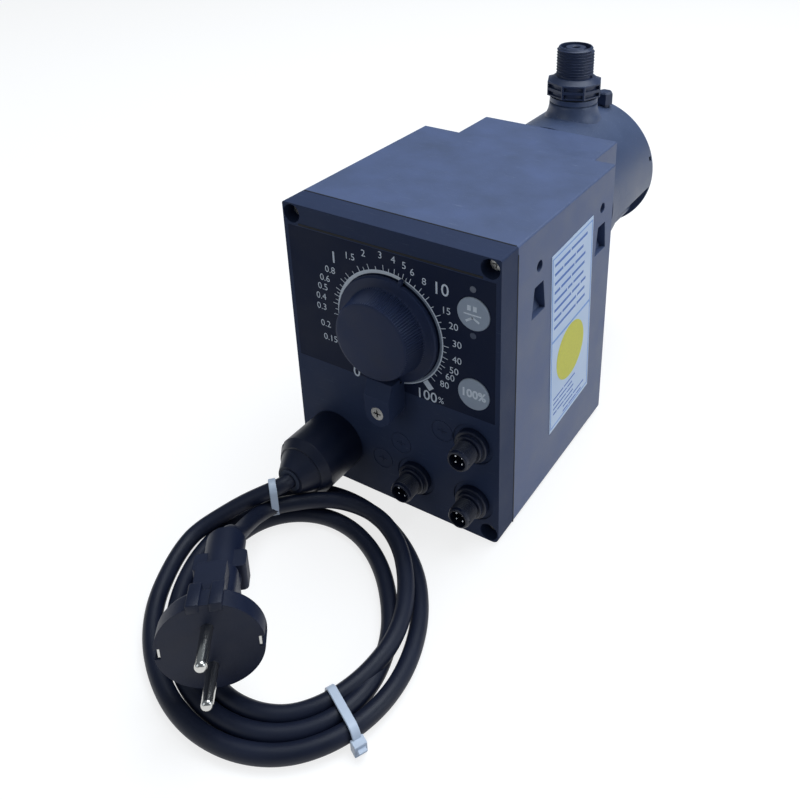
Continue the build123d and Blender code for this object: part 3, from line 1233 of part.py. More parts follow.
def make_coil():
    height = 2 * CABLE_RADIUS
    coil = coil_ellipse(0, height) - coil_ellipse(COIL_BAND, height)
    coil = chamfer(coil.edges().group_by(Axis.Z)[-1], COIL_EDGE_RADIUS)
    top = height + RIDGE_HEIGHT
    ridge = coil_ellipse(RIDGE_INSET, top) - coil_ellipse(RIDGE_INSET + RIDGE_WIDTH, top)
    coil += chamfer(ridge.edges().group_by(Axis.Z)[-1], COIL_EDGE_RADIUS)
    half = TIE_WIDTH / 2 + TIE_CLEARANCE
    for angle in TIE_ANGLES:
        groove = block(-COIL_BAND, COIL_BAND, -half, half, -1, TIE_THICKNESS + TIE_CLEARANCE)
        coil -= tie_place(angle) * groove
    return coil


def make_plug_body():
    half = PLUG_GRIP_WIDTH / 2
    disc = rod_x(PLUG_DISC_RADIUS, -PLUG_DISC_THICKNESS, 0, 0, 0)
    disc = fillet(disc.edges().sort_by(Axis.X)[0], 1.5)
    grip_end = -PLUG_DISC_THICKNESS - PLUG_GRIP_LENGTH
    grip = block(grip_end, -PLUG_DISC_THICKNESS + 1, -half, half, -PLUG_GRIP_HEIGHT / 2, PLUG_GRIP_HEIGHT / 2)
    grip = fillet(grip.edges().filter_by(Axis.X), 5.0)
    key_half = PLUG_KEY_WIDTH / 2
    grip += block(grip_end + 6, -2.0, -key_half, key_half, 0, PLUG_DISC_RADIUS - 1.5)
    neck = rod_x(PLUG_NECK_RADIUS, -PLUG_LENGTH, grip_end + 2, 0, 0)
    wing_end = grip_end - PLUG_WING_LENGTH - 4
    wings = block(wing_end, wing_end + PLUG_WING_LENGTH, -PLUG_WING_SPAN / 2, PLUG_WING_SPAN / 2,
                  -PLUG_WING_HEIGHT / 2, PLUG_WING_HEIGHT / 2)
    wings = fillet(wings.edges().filter_by(Axis.Z), 2.0)
    body = disc + grip + neck + wings
    for side in (-1, 1):
        slot_y = side * (PLUG_DISC_RADIUS - EARTH_CLIP_THICKNESS / 2)
        body -= block(-EARTH_CLIP_LENGTH, 1, slot_y - 2, slot_y + 2,
                      -EARTH_CLIP_WIDTH / 2, EARTH_CLIP_WIDTH / 2)
    for offset in (-PLUG_PIN_SPACING / 2, PLUG_PIN_SPACING / 2):
        body -= rod_x(PLUG_PIN_RADIUS, -PLUG_PIN_ROOT, 1, 0, offset)
    return plug_place() * body


def make_plug_pins():
    pins = []
    for offset in (-PLUG_PIN_SPACING / 2, PLUG_PIN_SPACING / 2):
        pin = rod_x(PLUG_PIN_RADIUS, -PLUG_PIN_ROOT, PLUG_PIN_LENGTH, 0, offset)
        pin = fillet(pin.edges().sort_by(Axis.X)[-1], PLUG_PIN_RADIUS * 0.7)
        pins.append(plug_place() * pin)
    return Compound(children=pins)


def make_earth_clips():
    clips = []
    for side in (-1, 1):
        inner = side * (PLUG_DISC_RADIUS - EARTH_CLIP_THICKNESS / 2 - 2)
        outer = inner + side * EARTH_CLIP_THICKNESS
        clip = block(-EARTH_CLIP_LENGTH, -0.5, min(inner, outer), max(inner, outer),
                     -EARTH_CLIP_WIDTH / 2, EARTH_CLIP_WIDTH / 2)
        clips.append(plug_place() * clip)
    return Compound(children=clips)


def tie_place(angle):
    """Place on the bundle's middle line, with X pointing away from the coil's centre."""
    turn = math.radians(angle)
    long_mid = COIL_LONG - COIL_BAND / 2
    short_mid = COIL_SHORT - COIL_BAND / 2
    heading = math.degrees(math.atan2(math.sin(turn) * long_mid, math.cos(turn) * short_mid))
    middle = Pos(long_mid * math.cos(turn), short_mid * math.sin(turn), 0)
    return Pos(*COIL_CENTRE, 0) * Rot(0, 0, COIL_ANGLE) * middle * Rot(0, 0, heading)


def make_ties():
    """Cable ties: a band round the bundle with its lock on top."""
    ties = []
    half = TIE_WIDTH / 2
    for angle, height, outer, inner in zip(TIE_ANGLES, TIE_HEIGHTS, TIE_OUTER_REACHES, TIE_INNER_REACHES):
        top = height + TIE_THICKNESS
        band = block(-inner, outer, -half, half, 0, top)
        band -= block(-inner + TIE_THICKNESS, outer - TIE_THICKNESS, -half - 1, half + 1,
                      TIE_THICKNESS, height)
        band += block(outer - TIE_LOCK, outer + 1, -TIE_LOCK / 2, TIE_LOCK / 2, height, top + 2)
        ties.append(tie_place(angle) * band)
    return Compound(children=ties)


# ---------------------------------------------------------------- all nodes
def all_nodes():
    nodes = {
        "front_frame": make_front_frame(),
        "rear_housing": make_rear_housing(),
        "housing_seal": seal_ring(),
        "housing_screws": make_housing_screws(),
        "service_label": make_label(),
        "control_panel": make_panel(),
        "dial_knob": make_knob(),
        "dial_shaft": make_dial_shaft(),
        "dial_encoder": make_encoder(),
        "panel_switches": make_switches(),
        "status_lamps": make_lamps(),
        "knob_lock": make_lock(),
        "knob_lock_screw": make_lock_screw(),
        "circuit_board": make_board(),
        "board_screws": make_board_screws(),
        "panel_nuts": make_panel_nuts(),
        "inlet_body": make_inlet_body(),
        "inlet_nose": make_inlet_nose(),
        "inlet_liner": make_inlet_liner(),
        "drive_frame": make_drive_frame(),
        "drive_screws": make_drive_screws(),
        "motor_body": make_motor(),
        "motor_screws": make_motor_screws(),
        "motor_shaft": make_motor_shaft(),
        "motor_pinion": make_pinion(),
        "drive_gear": make_drive_gear(),
        "eccentric_shaft": make_eccentric_shaft(),
        "eccentric_bearing": make_eccentric_bearing(),
        "shaft_bearings": make_shaft_bearings(),
        "connecting_rod": make_connecting_rod(),
        "rod_guide": make_rod_guide(),
        "drive_flange": make_drive_flange(),
        "diaphragm": make_diaphragm(),
        "diaphragm_core": make_diaphragm_core(),
        "head_body": make_head_body(),
        "head_cover": make_head_cover(),
        "head_screws": make_head_screws(),
        "vent_screw": make_vent_screw(),
        "discharge_valve_body": make_discharge_body(),
        "suction_valve_body": make_suction_body(),
        "mains_lead_inlet_run": cable_tube(inlet_run_points(), "inlet run"),
        "mains_lead_plug_run": cable_tube(plug_run_points(), "plug run"),
        "mains_lead_coil": make_coil(),
        "plug_body": make_plug_body(),
        "plug_pins": make_plug_pins(),
        "plug_earth_clips": make_earth_clips(),
        "cable_ties": make_ties(),
        "socket_inserts": make_all_inserts(),
        "socket_pins": make_all_pins(),
    }
    for name, z in BUTTON_HEIGHTS.items():
        nodes[name] = make_button(z)
    for name, (x, z) in SOCKET_PLACES.items():
        nodes[f"{name}_socket_shell"] = make_socket_shell(x, z)
    for name, side in (("discharge", 1), ("suction", -1)):
        nodes[f"{name}_gasket"] = make_gasket(side)
        nodes[f"{name}_seat"] = make_seat(side)
        nodes[f"{name}_ball"] = make_ball(side)
    return nodes


def main():
    os.makedirs("parts", exist_ok=True)
    for name, shape in all_nodes().items():
        export_step(shape, f"parts/{name}.step")


main()
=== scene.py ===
"""Diaphragm metering pump: operator's panel, dosing head and coiled mains lead, dressed over its solids.

Lengths in the tables are millimetres in the model's own frame: +Z is up and the panel faces -Y.
"""
import json
import math

import bpy
from mathutils import Matrix, Vector


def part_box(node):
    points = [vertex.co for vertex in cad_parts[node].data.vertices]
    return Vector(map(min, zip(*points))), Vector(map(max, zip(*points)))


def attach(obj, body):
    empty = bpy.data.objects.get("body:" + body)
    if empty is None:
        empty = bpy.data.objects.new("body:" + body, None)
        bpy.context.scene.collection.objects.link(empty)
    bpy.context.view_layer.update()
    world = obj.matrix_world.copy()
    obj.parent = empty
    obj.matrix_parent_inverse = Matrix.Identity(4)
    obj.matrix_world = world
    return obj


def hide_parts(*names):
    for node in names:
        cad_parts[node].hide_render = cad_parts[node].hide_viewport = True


bl_info = {
    "name": "Diaphragm Metering Pump",
    "version": (1, 0, 0),
    "blender": (4, 5, 0),
    "location": "3D View > Sidebar > Metering Pump",
    "description": "Builds the dial, print, sockets, valves and mains lead of a diaphragm metering pump",
    "category": "Add Mesh",
}

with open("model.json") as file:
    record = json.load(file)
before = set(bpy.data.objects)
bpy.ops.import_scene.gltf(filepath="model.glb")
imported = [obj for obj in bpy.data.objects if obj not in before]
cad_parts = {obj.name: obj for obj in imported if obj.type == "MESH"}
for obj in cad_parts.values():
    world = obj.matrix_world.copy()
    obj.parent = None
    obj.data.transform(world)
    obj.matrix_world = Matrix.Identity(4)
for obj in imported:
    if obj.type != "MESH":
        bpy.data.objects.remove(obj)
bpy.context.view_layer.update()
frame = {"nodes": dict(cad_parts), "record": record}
NODES = frame["nodes"]
MM = 0.001

PANEL_Y = -61.5
DIAL_Z = 106.0
SOCKETS = {
    "upper_socket_shell": (45.7, 56.0),
    "right_socket_shell": (45.7, 21.4),
    "left_socket_shell": (12.2, 21.4),
}
VALVE_Y = 138.5
HEAD_Z = 110.0
MODE_KEY = (46.3, 128.0)
FULL_KEY = (46.3, 85.1)
KEY_RISE = 0.6

# Number, centre across and up the panel, height of its figures.
DIAL_FIGURES = [
    ("1", -30.7, 135.0, 6.2), ("1.5", -21.0, 138.3, 3.6), ("2", -12.9, 142.1, 3.6), ("3", -3.2, 143.7, 3.6),
    ("4", 4.1, 143.3, 3.6), ("5", 10.0, 141.9, 3.6), ("6", 14.3, 139.7, 3.6), ("8", 20.6, 136.7, 3.6),
    ("10", 29.4, 135.3, 6.2), ("15", 32.0, 125.1, 3.6), ("20", 35.8, 118.0, 3.6), ("30", 37.5, 109.0, 3.6),
    ("40", 37.4, 100.3, 3.6), ("50", 35.7, 93.9, 3.6), ("60", 33.5, 89.6, 3.6), ("80", 30.4, 84.4, 3.6),
    ("0.8", -33.5, 127.6, 3.6), ("0.6", -37.1, 122.2, 3.6), ("0.5", -38.8, 117.0, 3.6),
    ("0.4", -40.3, 111.3, 3.6), ("0.3", -40.5, 105.4, 3.6), ("0.2", -38.9, 95.8, 3.6),
    ("0.15", -36.5, 88.1, 3.6), ("0", -21.4, 73.3, 6.2), ("100", 20.2, 74.5, 5.6), ("%", 28.3, 74.5, 3.4),
]
TICKED = [0.15, 0.2, 0.3, 0.4, 0.5, 0.6, 0.8, 1, 1.5, 2, 3, 4, 5, 6, 8, 10, 15, 20, 30, 40, 50, 60, 80]

LEAD_START = (-38.0, -88.5, 25.0)
INLET_RUN = [
    (-38.0, -97.5, 25.0),
    (-39.5, -104.0, 24.6),
    (-46.0, -110.5, 21.8),
    (-54.0, -117.0, 17.2),
    (-61.0, -125.0, 12.4),
    (-66.0, -134.0, 9.2),
    (-67.0, -142.5, 7.2),
]
PLUG_RUN = [
    (-41.5, -107.0, 13.8),
    (-43.6, -113.2, 14.0),
    (-42.9, -121.0, 16.0),
    (-39.5, -129.3, 20.0),
    (-35.8, -136.1, 24.0),
    (-32.6, -142.0, 28.6),
]
PLUG_FACE = (6.5, -193.5, 36.38)
PLUG_HEADING = -50.7
PLUG_TILT = 4.3
PLUG_LENGTH = 58.0
PLUG_STRAIGHT = 7.0
COIL_CENTRE = (-1.5, -143.5)
COIL_LONG = 74.0
COIL_SHORT = 61.5
COIL_ANGLE = -41.0
# Angle along the coil in degrees, inset from its outer edge, and height of the lead's centre. The first
# turn lies outside, the next ones inside it, and the last one climbs over them on the right.
COIL_KEYS = [
    (238, 2.6, 6.0), (252, 2.2, 5.0), (268, 2.6, 4.2), (290, 3.6, 4.0), (350, 4.0, 4.2), (375, 4.0, 5.4),
    (400, 4.2, 4.4), (415, 4.2, 4.0), (450, 2.6, 4.0), (480, 2.4, 5.0), (505, 2.6, 7.0), (523, 3.5, 8.0),
    (538, 5.4, 7.8), (560, 9.0, 4.6), (580, 10.5, 4.0), (605, 11.5, 4.0), (640, 12.0, 4.0),
    (710, 12.0, 4.2), (735, 12.0, 5.4), (755, 13.5, 4.4), (765, 15.0, 4.0), (800, 17.5, 4.0),
    (860, 15.5, 4.0), (900, 16.6, 4.0), (925, 18.5, 4.0), (960, 19.6, 4.0), (1020, 20.0, 4.0),
    (1070, 20.0, 4.2), (1095, 19.8, 5.6), (1110, 17.5, 6.6), (1135, 12.5, 8.8), (1155, 9.8, 9.4),
    (1175, 7.2, 10.6), (1187, 5.8, 12.0), (1198, 6.3, 12.8), (1212, 9.5, 13.2), (1225, 13.2, 13.4),
    (1240, 16.8, 13.6),
]
COIL_STEP = 16          # degrees between the points of a turn
# Angle on the coil, then inset and height of each strand that the tie holds, the outermost first
TIES = [(178.5, [(5.4, 7.8), (19.2, 13.9), (18.4, 23.0)]), (15.0, [(4.0, 5.4), (19.8, 5.5)])]
TIE_WIDTH = 3.6
TIE_THICKNESS = 1.1
TIE_CLEARANCE = 0.12
TIE_LOCK = (4.2, 5.4, 5.6)
TIE_LOCK_OUT = 1.9
TIE_LOCK_DROP = 4.6
TIE_TAIL = (2.6, TIE_WIDTH, 1.0)
TIE_TAIL_OUT = 4.6
TIE_TAIL_DROP = 1.6
GUIDE_DEPTH = 12.0
GUIDE_WIDTH = 5.0
GUIDE_HEIGHT = 4.2
GUIDE_PROUD = 0.4       # beyond the plug's face
GUIDE_RADIUS = 17.6
GUIDE_OFFSET = 4.3

SKIRT = 27.9
RIB_GROOVE = 0.972      # radius of a groove between two ribs over the grip's
POINTER_OUT = 28.3
RING_RADIUS = 30.2
RING_INNER = 28.4
RING_RIM = 29.55
POINTER_ANGLE = 72.0
INK = 0.05
TICK_LONG = 2.9
TICK_SHORT = 1.7
TICK_WIDTH = 0.35
# Lengths of the word-like bars in each row of the label, in millimetres
LABEL_ROWS = [(17, 19), (9, 13, 8), (22, 12), (6, 11, 15), (14, 5, 12), (19, 9, 6), (8, 16, 9), (25, 10)]
LABEL_CENTRE = (60.2, 13.9, 84.3)
LABEL_TILT = 2.8
LABEL_INK = 0.06

NUT_ACROSS = 32.3
NUT_HEIGHT = 8.5
NUT_MIDDLE = 20.75
VALVE_FOOT = 40.0       # head's axis to the foot of a valve body
NECK_FOOT = 39.2
# height of the near-black strip of painted shade in the groove above the panel
GROOVE_SHADE_Z = 147.6
SEAM_Y = -46.5

CAMERA_PLACE = (0.21491, -0.34487, 0.33290)
CAMERA_ANGLES = (30.117, 25.222, 0.103)     # turn, drop and roll in degrees
CAMERA_FOCAL_PX = 883.05
CAMERA_CENTRE_PX = (482.2, 211.4)
PICTURE_PX = 800
SENSOR_WIDTH = 36       # millimetres
LAMP_TINT = (0.86, 0.93, 1.0)
SKY_TINT = (0.80, 0.90, 1.0, 1)
AMBIENT = 0.20


# ------------------------------------------------------------------ settings
class PumpFinishes(bpy.types.PropertyGroup):
    # housing and front frame are one near-black plastic; the housing's lighter colour holds painted sheen,
    # the front frame's darker colour painted shade
    housing: bpy.props.StringProperty(
        name="Housing", description="Colour of the moulded drive housing, as sRGB hex", default="#46526C")
    front: bpy.props.StringProperty(
        name="Front frame", description="Colour of the front frame, as sRGB hex", default="#29334C")
    panel: bpy.props.StringProperty(
        name="Membrane", description="Colour of the printed membrane, as sRGB hex", default="#121B30")
    ink: bpy.props.StringProperty(
        name="Ink", description="Colour of the dial's print, as sRGB hex", default="#EEF2F7")
    key: bpy.props.StringProperty(
        name="Keys", description="Colour of the two keys, as sRGB hex", default="#A3ADBB")
    cable: bpy.props.StringProperty(
        name="Cable sheath", description="Colour of the rubber sheath, as sRGB hex", default="#0B1122")


class PumpSizes(bpy.types.PropertyGroup):
    ribs: bpy.props.IntProperty(
        name="Knob ribs", description="Ribs round the knob's grip", default=100, min=24, max=160)
    lead_diameter: bpy.props.FloatProperty(
        name="Lead diameter", description="Outer diameter of the mains lead", default=0.008, unit="LENGTH")
    port_pitch: bpy.props.FloatProperty(
        name="Port thread pitch", description="Pitch of the thread on both ports", default=0.001814,
        precision=6, unit="LENGTH")
    socket_pitch: bpy.props.FloatProperty(
        name="Socket thread pitch", description="Pitch of the signal sockets' thread", default=0.001,
        precision=6, unit="LENGTH")


# ------------------------------------------------------------------ modelling helpers
def deselect():
    if bpy.context.mode != "OBJECT":
        bpy.ops.object.mode_set(mode="OBJECT")
    bpy.ops.object.select_all(action="DESELECT")


def only(obj):
    """Leaves one piece selected and active."""
    deselect()
    obj.select_set(True)
    bpy.context.view_layer.objects.active = obj


def edit(obj):
    """Opens a piece for editing with nothing else selected."""
    only(obj)
    bpy.ops.object.mode_set(mode="EDIT")


def pick(obj, kind, test):
    """Selects the vertices or faces that pass a test, in edit mode."""
    bpy.ops.mesh.select_mode(type="VERT" if kind == "vertices" else "FACE")
    bpy.ops.mesh.select_all(action="DESELECT")
    bpy.ops.object.mode_set(mode="OBJECT")
    for part in getattr(obj.data, "vertices" if kind == "vertices" else "polygons"):
        part.select = test(part)
    bpy.ops.object.mode_set(mode="EDIT")


def turned(name, profile, sides=64, start="NOTHING", end=False):
    """Turns (radius, height) pairs about Z. A first pair repeated at the end closes a ring."""
    deselect()
    radius, height = profile[0]
    bpy.ops.mesh.primitive_circle_add(vertices=sides, radius=radius * MM, fill_type=start, location=(0, 0, 0))
    obj = bpy.context.object
    obj.name = name
    bpy.ops.object.mode_set(mode="EDIT")
    bpy.ops.mesh.select_all(action="SELECT")
    bpy.ops.transform.translate(value=(0, 0, height * MM))
    for new_radius, new_height in profile[1:]:
        bpy.ops.mesh.extrude_edges_move(
            TRANSFORM_OT_translate={"value": (0, 0, (new_height - height) * MM)})
        ratio = new_radius / radius
        bpy.ops.transform.resize(value=(ratio, ratio, 1), center_override=(0, 0, new_height * MM))
        radius, height = new_radius, new_height
    if end:
        bpy.ops.mesh.edge_face_add()
    bpy.ops.mesh.select_all(action="SELECT")
    bpy.ops.mesh.remove_doubles(threshold=0.00001)
    bpy.ops.mesh.normals_make_consistent(inside=False)
    bpy.ops.object.mode_set(mode="OBJECT")
    return obj


def thread_ridge(name, root, crest, pitch, low, high, sides=60):
    """Helical V ridge from low to high on a core of the root radius."""
    deselect()
    bpy.ops.mesh.primitive_circle_add(
        vertices=4, radius=1, fill_type="NOTHING", location=(root * MM, 0, low * MM),
        rotation=(math.pi / 2, 0, 0))
    obj = bpy.context.object
    obj.name = name
    obj.scale = ((crest - root) * MM, pitch * 0.49 * MM, 1)
    bpy.ops.object.transform_apply(location=True, rotation=True, scale=True)
    screw = obj.modifiers.new("thread", "SCREW")
    screw.axis = "Z"
    screw.angle = 2 * math.pi
    screw.steps = screw.render_steps = sides
    screw.iterations = max(1, int((high - low) / pitch))
    screw.screw_offset = pitch * MM
    screw.use_smooth_shade = False
    bpy.ops.object.modifier_apply(modifier="thread")
    edit(obj)
    bpy.ops.mesh.select_all(action="SELECT")
    bpy.ops.mesh.fill_holes(sides=4)
    bpy.ops.mesh.select_all(action="SELECT")
    bpy.ops.mesh.normals_make_consistent(inside=False)
    bpy.ops.object.mode_set(mode="OBJECT")
    return obj


def joined(name, objs):
    deselect()
    for obj in objs:
        obj.select_set(True)
    bpy.context.view_layer.objects.active = objs[0]
    if len(objs) > 1:
        bpy.ops.object.join()
    obj = bpy.context.object
    obj.name = name
    obj.data.name = name
    return obj


def settled(*objs):
    """Writes the places of pieces into their meshes and returns the first."""
    deselect()
    for obj in objs:
        obj.select_set(True)
    bpy.context.view_layer.objects.active = objs[0]
    bpy.ops.object.transform_apply(location=True, rotation=True, scale=True)
    return objs[0]


def placed(obj, matrix, material, smooth=30):
    """Puts a finished piece in its place, with its place in its mesh."""
    only(obj)
    obj.matrix_world = matrix @ obj.matrix_world
    bpy.context.view_layer.update()
    bpy.ops.object.transform_apply(location=True, rotation=True, scale=True)
    if smooth:
        bpy.ops.object.shade_smooth_by_angle(angle=math.radians(smooth))
    obj.data.materials.clear()
    obj.data.materials.append(material)
    return obj


def bevelled(obj, width, segments=2, angle=35):
    only(obj)
    bevel = obj.modifiers.new("edges", "BEVEL")
    bevel.width = width * MM
    bevel.segments = segments
    bevel.limit_method = "ANGLE"
    bevel.angle_limit = math.radians(angle)
    bpy.ops.object.modifier_apply(modifier="edges")
    return obj


def towards_operator(x, z, y=PANEL_Y):
    """Place of a piece whose Z axis points out of the panel."""
    return Matrix.Translation((x * MM, y * MM, z * MM)) @ Matrix.Rotation(math.pi / 2, 4, "X")


def slab(width, height, thickness, x=0.0, y=0.0, turn=0.0):
    """Thin printed bar in the XY plane, its back at Z = 0."""
    deselect()
    bpy.ops.mesh.primitive_cube_add(size=1, location=(x * MM, y * MM, thickness * MM / 2))
    obj = bpy.context.object
    obj.scale = (width * MM, height * MM, thickness * MM)
    obj.rotation_euler = (0, 0, math.radians(turn))
    bpy.ops.object.transform_apply(location=True, rotation=True, scale=True)
    return obj


def arc(name, inner, outer, start, end, thickness):
    """Printed band between two radii, from one angle to a larger one, in degrees."""
    deselect()
    bpy.ops.mesh.primitive_circle_add(vertices=720, radius=inner * MM, fill_type="NOTHING",
                                      location=(0, 0, 0))
    obj = bpy.context.object
    obj.name = name

    def outside(vertex):
        angle = math.degrees(math.atan2(vertex.co.y, vertex.co.x))
        while angle < start:
            angle += 360
        return angle > end

    edit(obj)
    pick(obj, "vertices", outside)
    bpy.ops.mesh.delete(type="VERT")
    bpy.ops.mesh.select_all(action="SELECT")
    bpy.ops.mesh.extrude_edges_move()
    ratio = outer / inner
    bpy.ops.transform.resize(value=(ratio, ratio, 1), center_override=(0, 0, 0))
    bpy.ops.object.mode_set(mode="OBJECT")
    solidify = obj.modifiers.new("ink", "SOLIDIFY")
    solidify.thickness = thickness * MM
    solidify.offset = 0
    bpy.ops.object.modifier_apply(modifier="ink")
    edit(obj)
    bpy.ops.mesh.select_all(action="SELECT")
    bpy.ops.mesh.normals_make_consistent(inside=False)
    bpy.ops.object.mode_set(mode="OBJECT")
    return obj


def figures(text, x, y, height, thickness, bold=0.0):
    """Printed figures centred on a place, made into a mesh."""
    deselect()
    bpy.ops.object.text_add(location=(x * MM, y * MM, 0))
    obj = bpy.context.object
    obj.data.body = text
    obj.data.align_x = "CENTER"
    obj.data.align_y = "CENTER"
    obj.data.size = height / 0.7 * MM
    obj.data.extrude = thickness / 2 * MM
    obj.data.offset = bold * MM
    obj.data.resolution_u = 3
    bpy.ops.object.convert(target="MESH")
    obj = bpy.context.object
    bpy.ops.object.transform_apply(location=True, rotation=True, scale=True)
    edit(obj)
    bpy.ops.mesh.select_all(action="SELECT")
    bpy.ops.mesh.remove_doubles(threshold=0.000001)
    bpy.ops.object.mode_set(mode="OBJECT")
    return obj


def dial_angle(value):
    """Angle of a value on the dial's scale, in degrees from +X."""
    if value <= 10:
        return 136.7 - 91.0 * math.log10(value)
    return 45.7 - 95.4 * (math.log10(value) - 1)


# ------------------------------------------------------------------ materials
def srgb(code):
    """Linear colour of an sRGB hex value."""
    values = [int(code[i:i + 2], 16) / 255 for i in (1, 3, 5)]
    return tuple(v / 12.92 if v <= 0.04045 else ((v + 0.055) / 1.055) ** 2.4 for v in values) + (1.0,)


def add(tree, kind, settings=None, links=None):
    """Adds one node, with input values or attributes by name, and its incoming links."""
    node = tree.nodes.new(kind)
    for key, value in (settings or {}).items():
        if key in node.inputs:
            node.inputs[key].default_value = value
        else:
            setattr(node, key, value)
    for key, (source, output) in (links or {}).items():
        tree.links.new(source.outputs[output], node.inputs[key])
    return node


def new_material(name):
    material = bpy.data.materials.new(name)
    material.use_nodes = True
    tree = material.node_tree
    tree.nodes.clear()
    return material, tree


def moulded(name, colour, tone, roughness, grain_mm=0.5, grain=0.15, edge_mm=0.4, wear=0.0, sheen=0.5):
    """Moulded plastic or rubber: a die's fine grain, faint patches of tone and softened edges."""
    material, tree = new_material(name)
    place = add(tree, "ShaderNodeTexCoord")
    patches = add(tree, "ShaderNodeTexNoise", {"Scale": 45.0, "Detail": 3.0, "Roughness": 0.6},
                  {"Vector": (place, "Object")})
    # 1 / scale is the spacing of the pattern in metres
    fine = add(tree, "ShaderNodeTexNoise", {"Scale": 1000.0 / grain_mm, "Detail": 2.0},
               {"Vector": (place, "Object")})
    mix = add(tree, "ShaderNodeMix", {"data_type": "RGBA"}, {"Factor": (patches, "Fac")})
    mix.inputs[6].default_value = srgb(colour)
    mix.inputs[7].default_value = srgb(tone)
    source, output = mix, 2
    if wear:
        # light rub marks, long and about 0.3 mm wide
        stretch = add(tree, "ShaderNodeMapping", {"Rotation": (0.5, 0.9, 0.3), "Scale": (1.0, 14.0, 14.0)},
                      {"Vector": (place, "Object")})
        marks = add(tree, "ShaderNodeTexNoise", {"Scale": 110.0, "Detail": 6.0, "Roughness": 0.75},
                    {"Vector": (stretch, "Vector")})
        ramp = add(tree, "ShaderNodeMapRange",
                   {"From Min": 0.61, "From Max": 0.76, "To Min": 0.0, "To Max": wear},
                   {"Value": (marks, "Fac")})
        worn = add(tree, "ShaderNodeMix", {"data_type": "RGBA"}, {"Factor": (ramp, "Result")})
        worn.inputs[7].default_value = srgb("#A9B4C6")
        tree.links.new(mix.outputs[2], worn.inputs[6])
        source = worn
    rough = add(tree, "ShaderNodeMapRange",
                {"From Min": 0.3, "From Max": 0.7, "To Min": roughness - 0.06, "To Max": roughness + 0.06},
                {"Value": (patches, "Fac")})
    edge = add(tree, "ShaderNodeBevel", {"Radius": edge_mm * MM, "samples": 4})
    bump = add(tree, "ShaderNodeBump", {"Strength": grain, "Distance": 0.0002},
               {"Height": (fine, "Fac"), "Normal": (edge, "Normal")})
    shader = add(tree, "ShaderNodeBsdfPrincipled", {"IOR": 1.5, "Specular IOR Level": sheen},
                 {"Base Color": (source, output), "Roughness": (rough, "Result"), "Normal": (bump, "Normal")})
    add(tree, "ShaderNodeOutputMaterial", None, {"Surface": (shader, "BSDF")})
    return material


def metal(name, colour, roughness, grain_mm=0.3, stretch=(1, 1, 1)):
    """Bare or plated metal with fine drawn or turned lines."""
    material, tree = new_material(name)
    place = add(tree, "ShaderNodeTexCoord")
    along = add(tree, "ShaderNodeMapping", {"Scale": stretch}, {"Vector": (place, "Object")})
    lines = add(tree, "ShaderNodeTexNoise", {"Scale": 1000.0 / grain_mm, "Detail": 3.0},
                {"Vector": (along, "Vector")})
    rough = add(tree, "ShaderNodeMapRange",
                {"From Min": 0.3, "From Max": 0.7, "To Min": roughness * 0.7, "To Max": roughness * 1.3},
                {"Value": (lines, "Fac")})
    bump = add(tree, "ShaderNodeBump", {"Strength": 0.06, "Distance": 0.0001}, {"Height": (lines, "Fac")})
    shader = add(tree, "ShaderNodeBsdfPrincipled", {"Base Color": srgb(colour), "Metallic": 1.0},
                 {"Roughness": (rough, "Result"), "Normal": (bump, "Normal")})
    add(tree, "ShaderNodeOutputMaterial", None, {"Surface": (shader, "BSDF")})
    return material


def printed(name, colour, roughness=0.5):
    """Screen-printed ink, with the slight mottling of a thin coat. It also gives the near-black of the
    painted shade in the panel groove and of the seam's dark joint.
    """
    material, tree = new_material(name)
    place = add(tree, "ShaderNodeTexCoord")
    mottle = add(tree, "ShaderNodeTexNoise", {"Scale": 900.0, "Detail": 2.0}, {"Vector": (place, "Object")})
    value = add(tree, "ShaderNodeMapRange",
                {"From Min": 0.3, "From Max": 0.7, "To Min": 0.94, "To Max": 1.02},
                {"Value": (mottle, "Fac")})
    tint = add(tree, "ShaderNodeHueSaturation", {"Color": srgb(colour)}, {"Value": (value, "Result")})
    shader = add(tree, "ShaderNodeBsdfPrincipled", {"Roughness": roughness}, {"Base Color": (tint, "Color")})
    add(tree, "ShaderNodeOutputMaterial", None, {"Surface": (shader, "BSDF")})
    return material


MATERIALS = {}


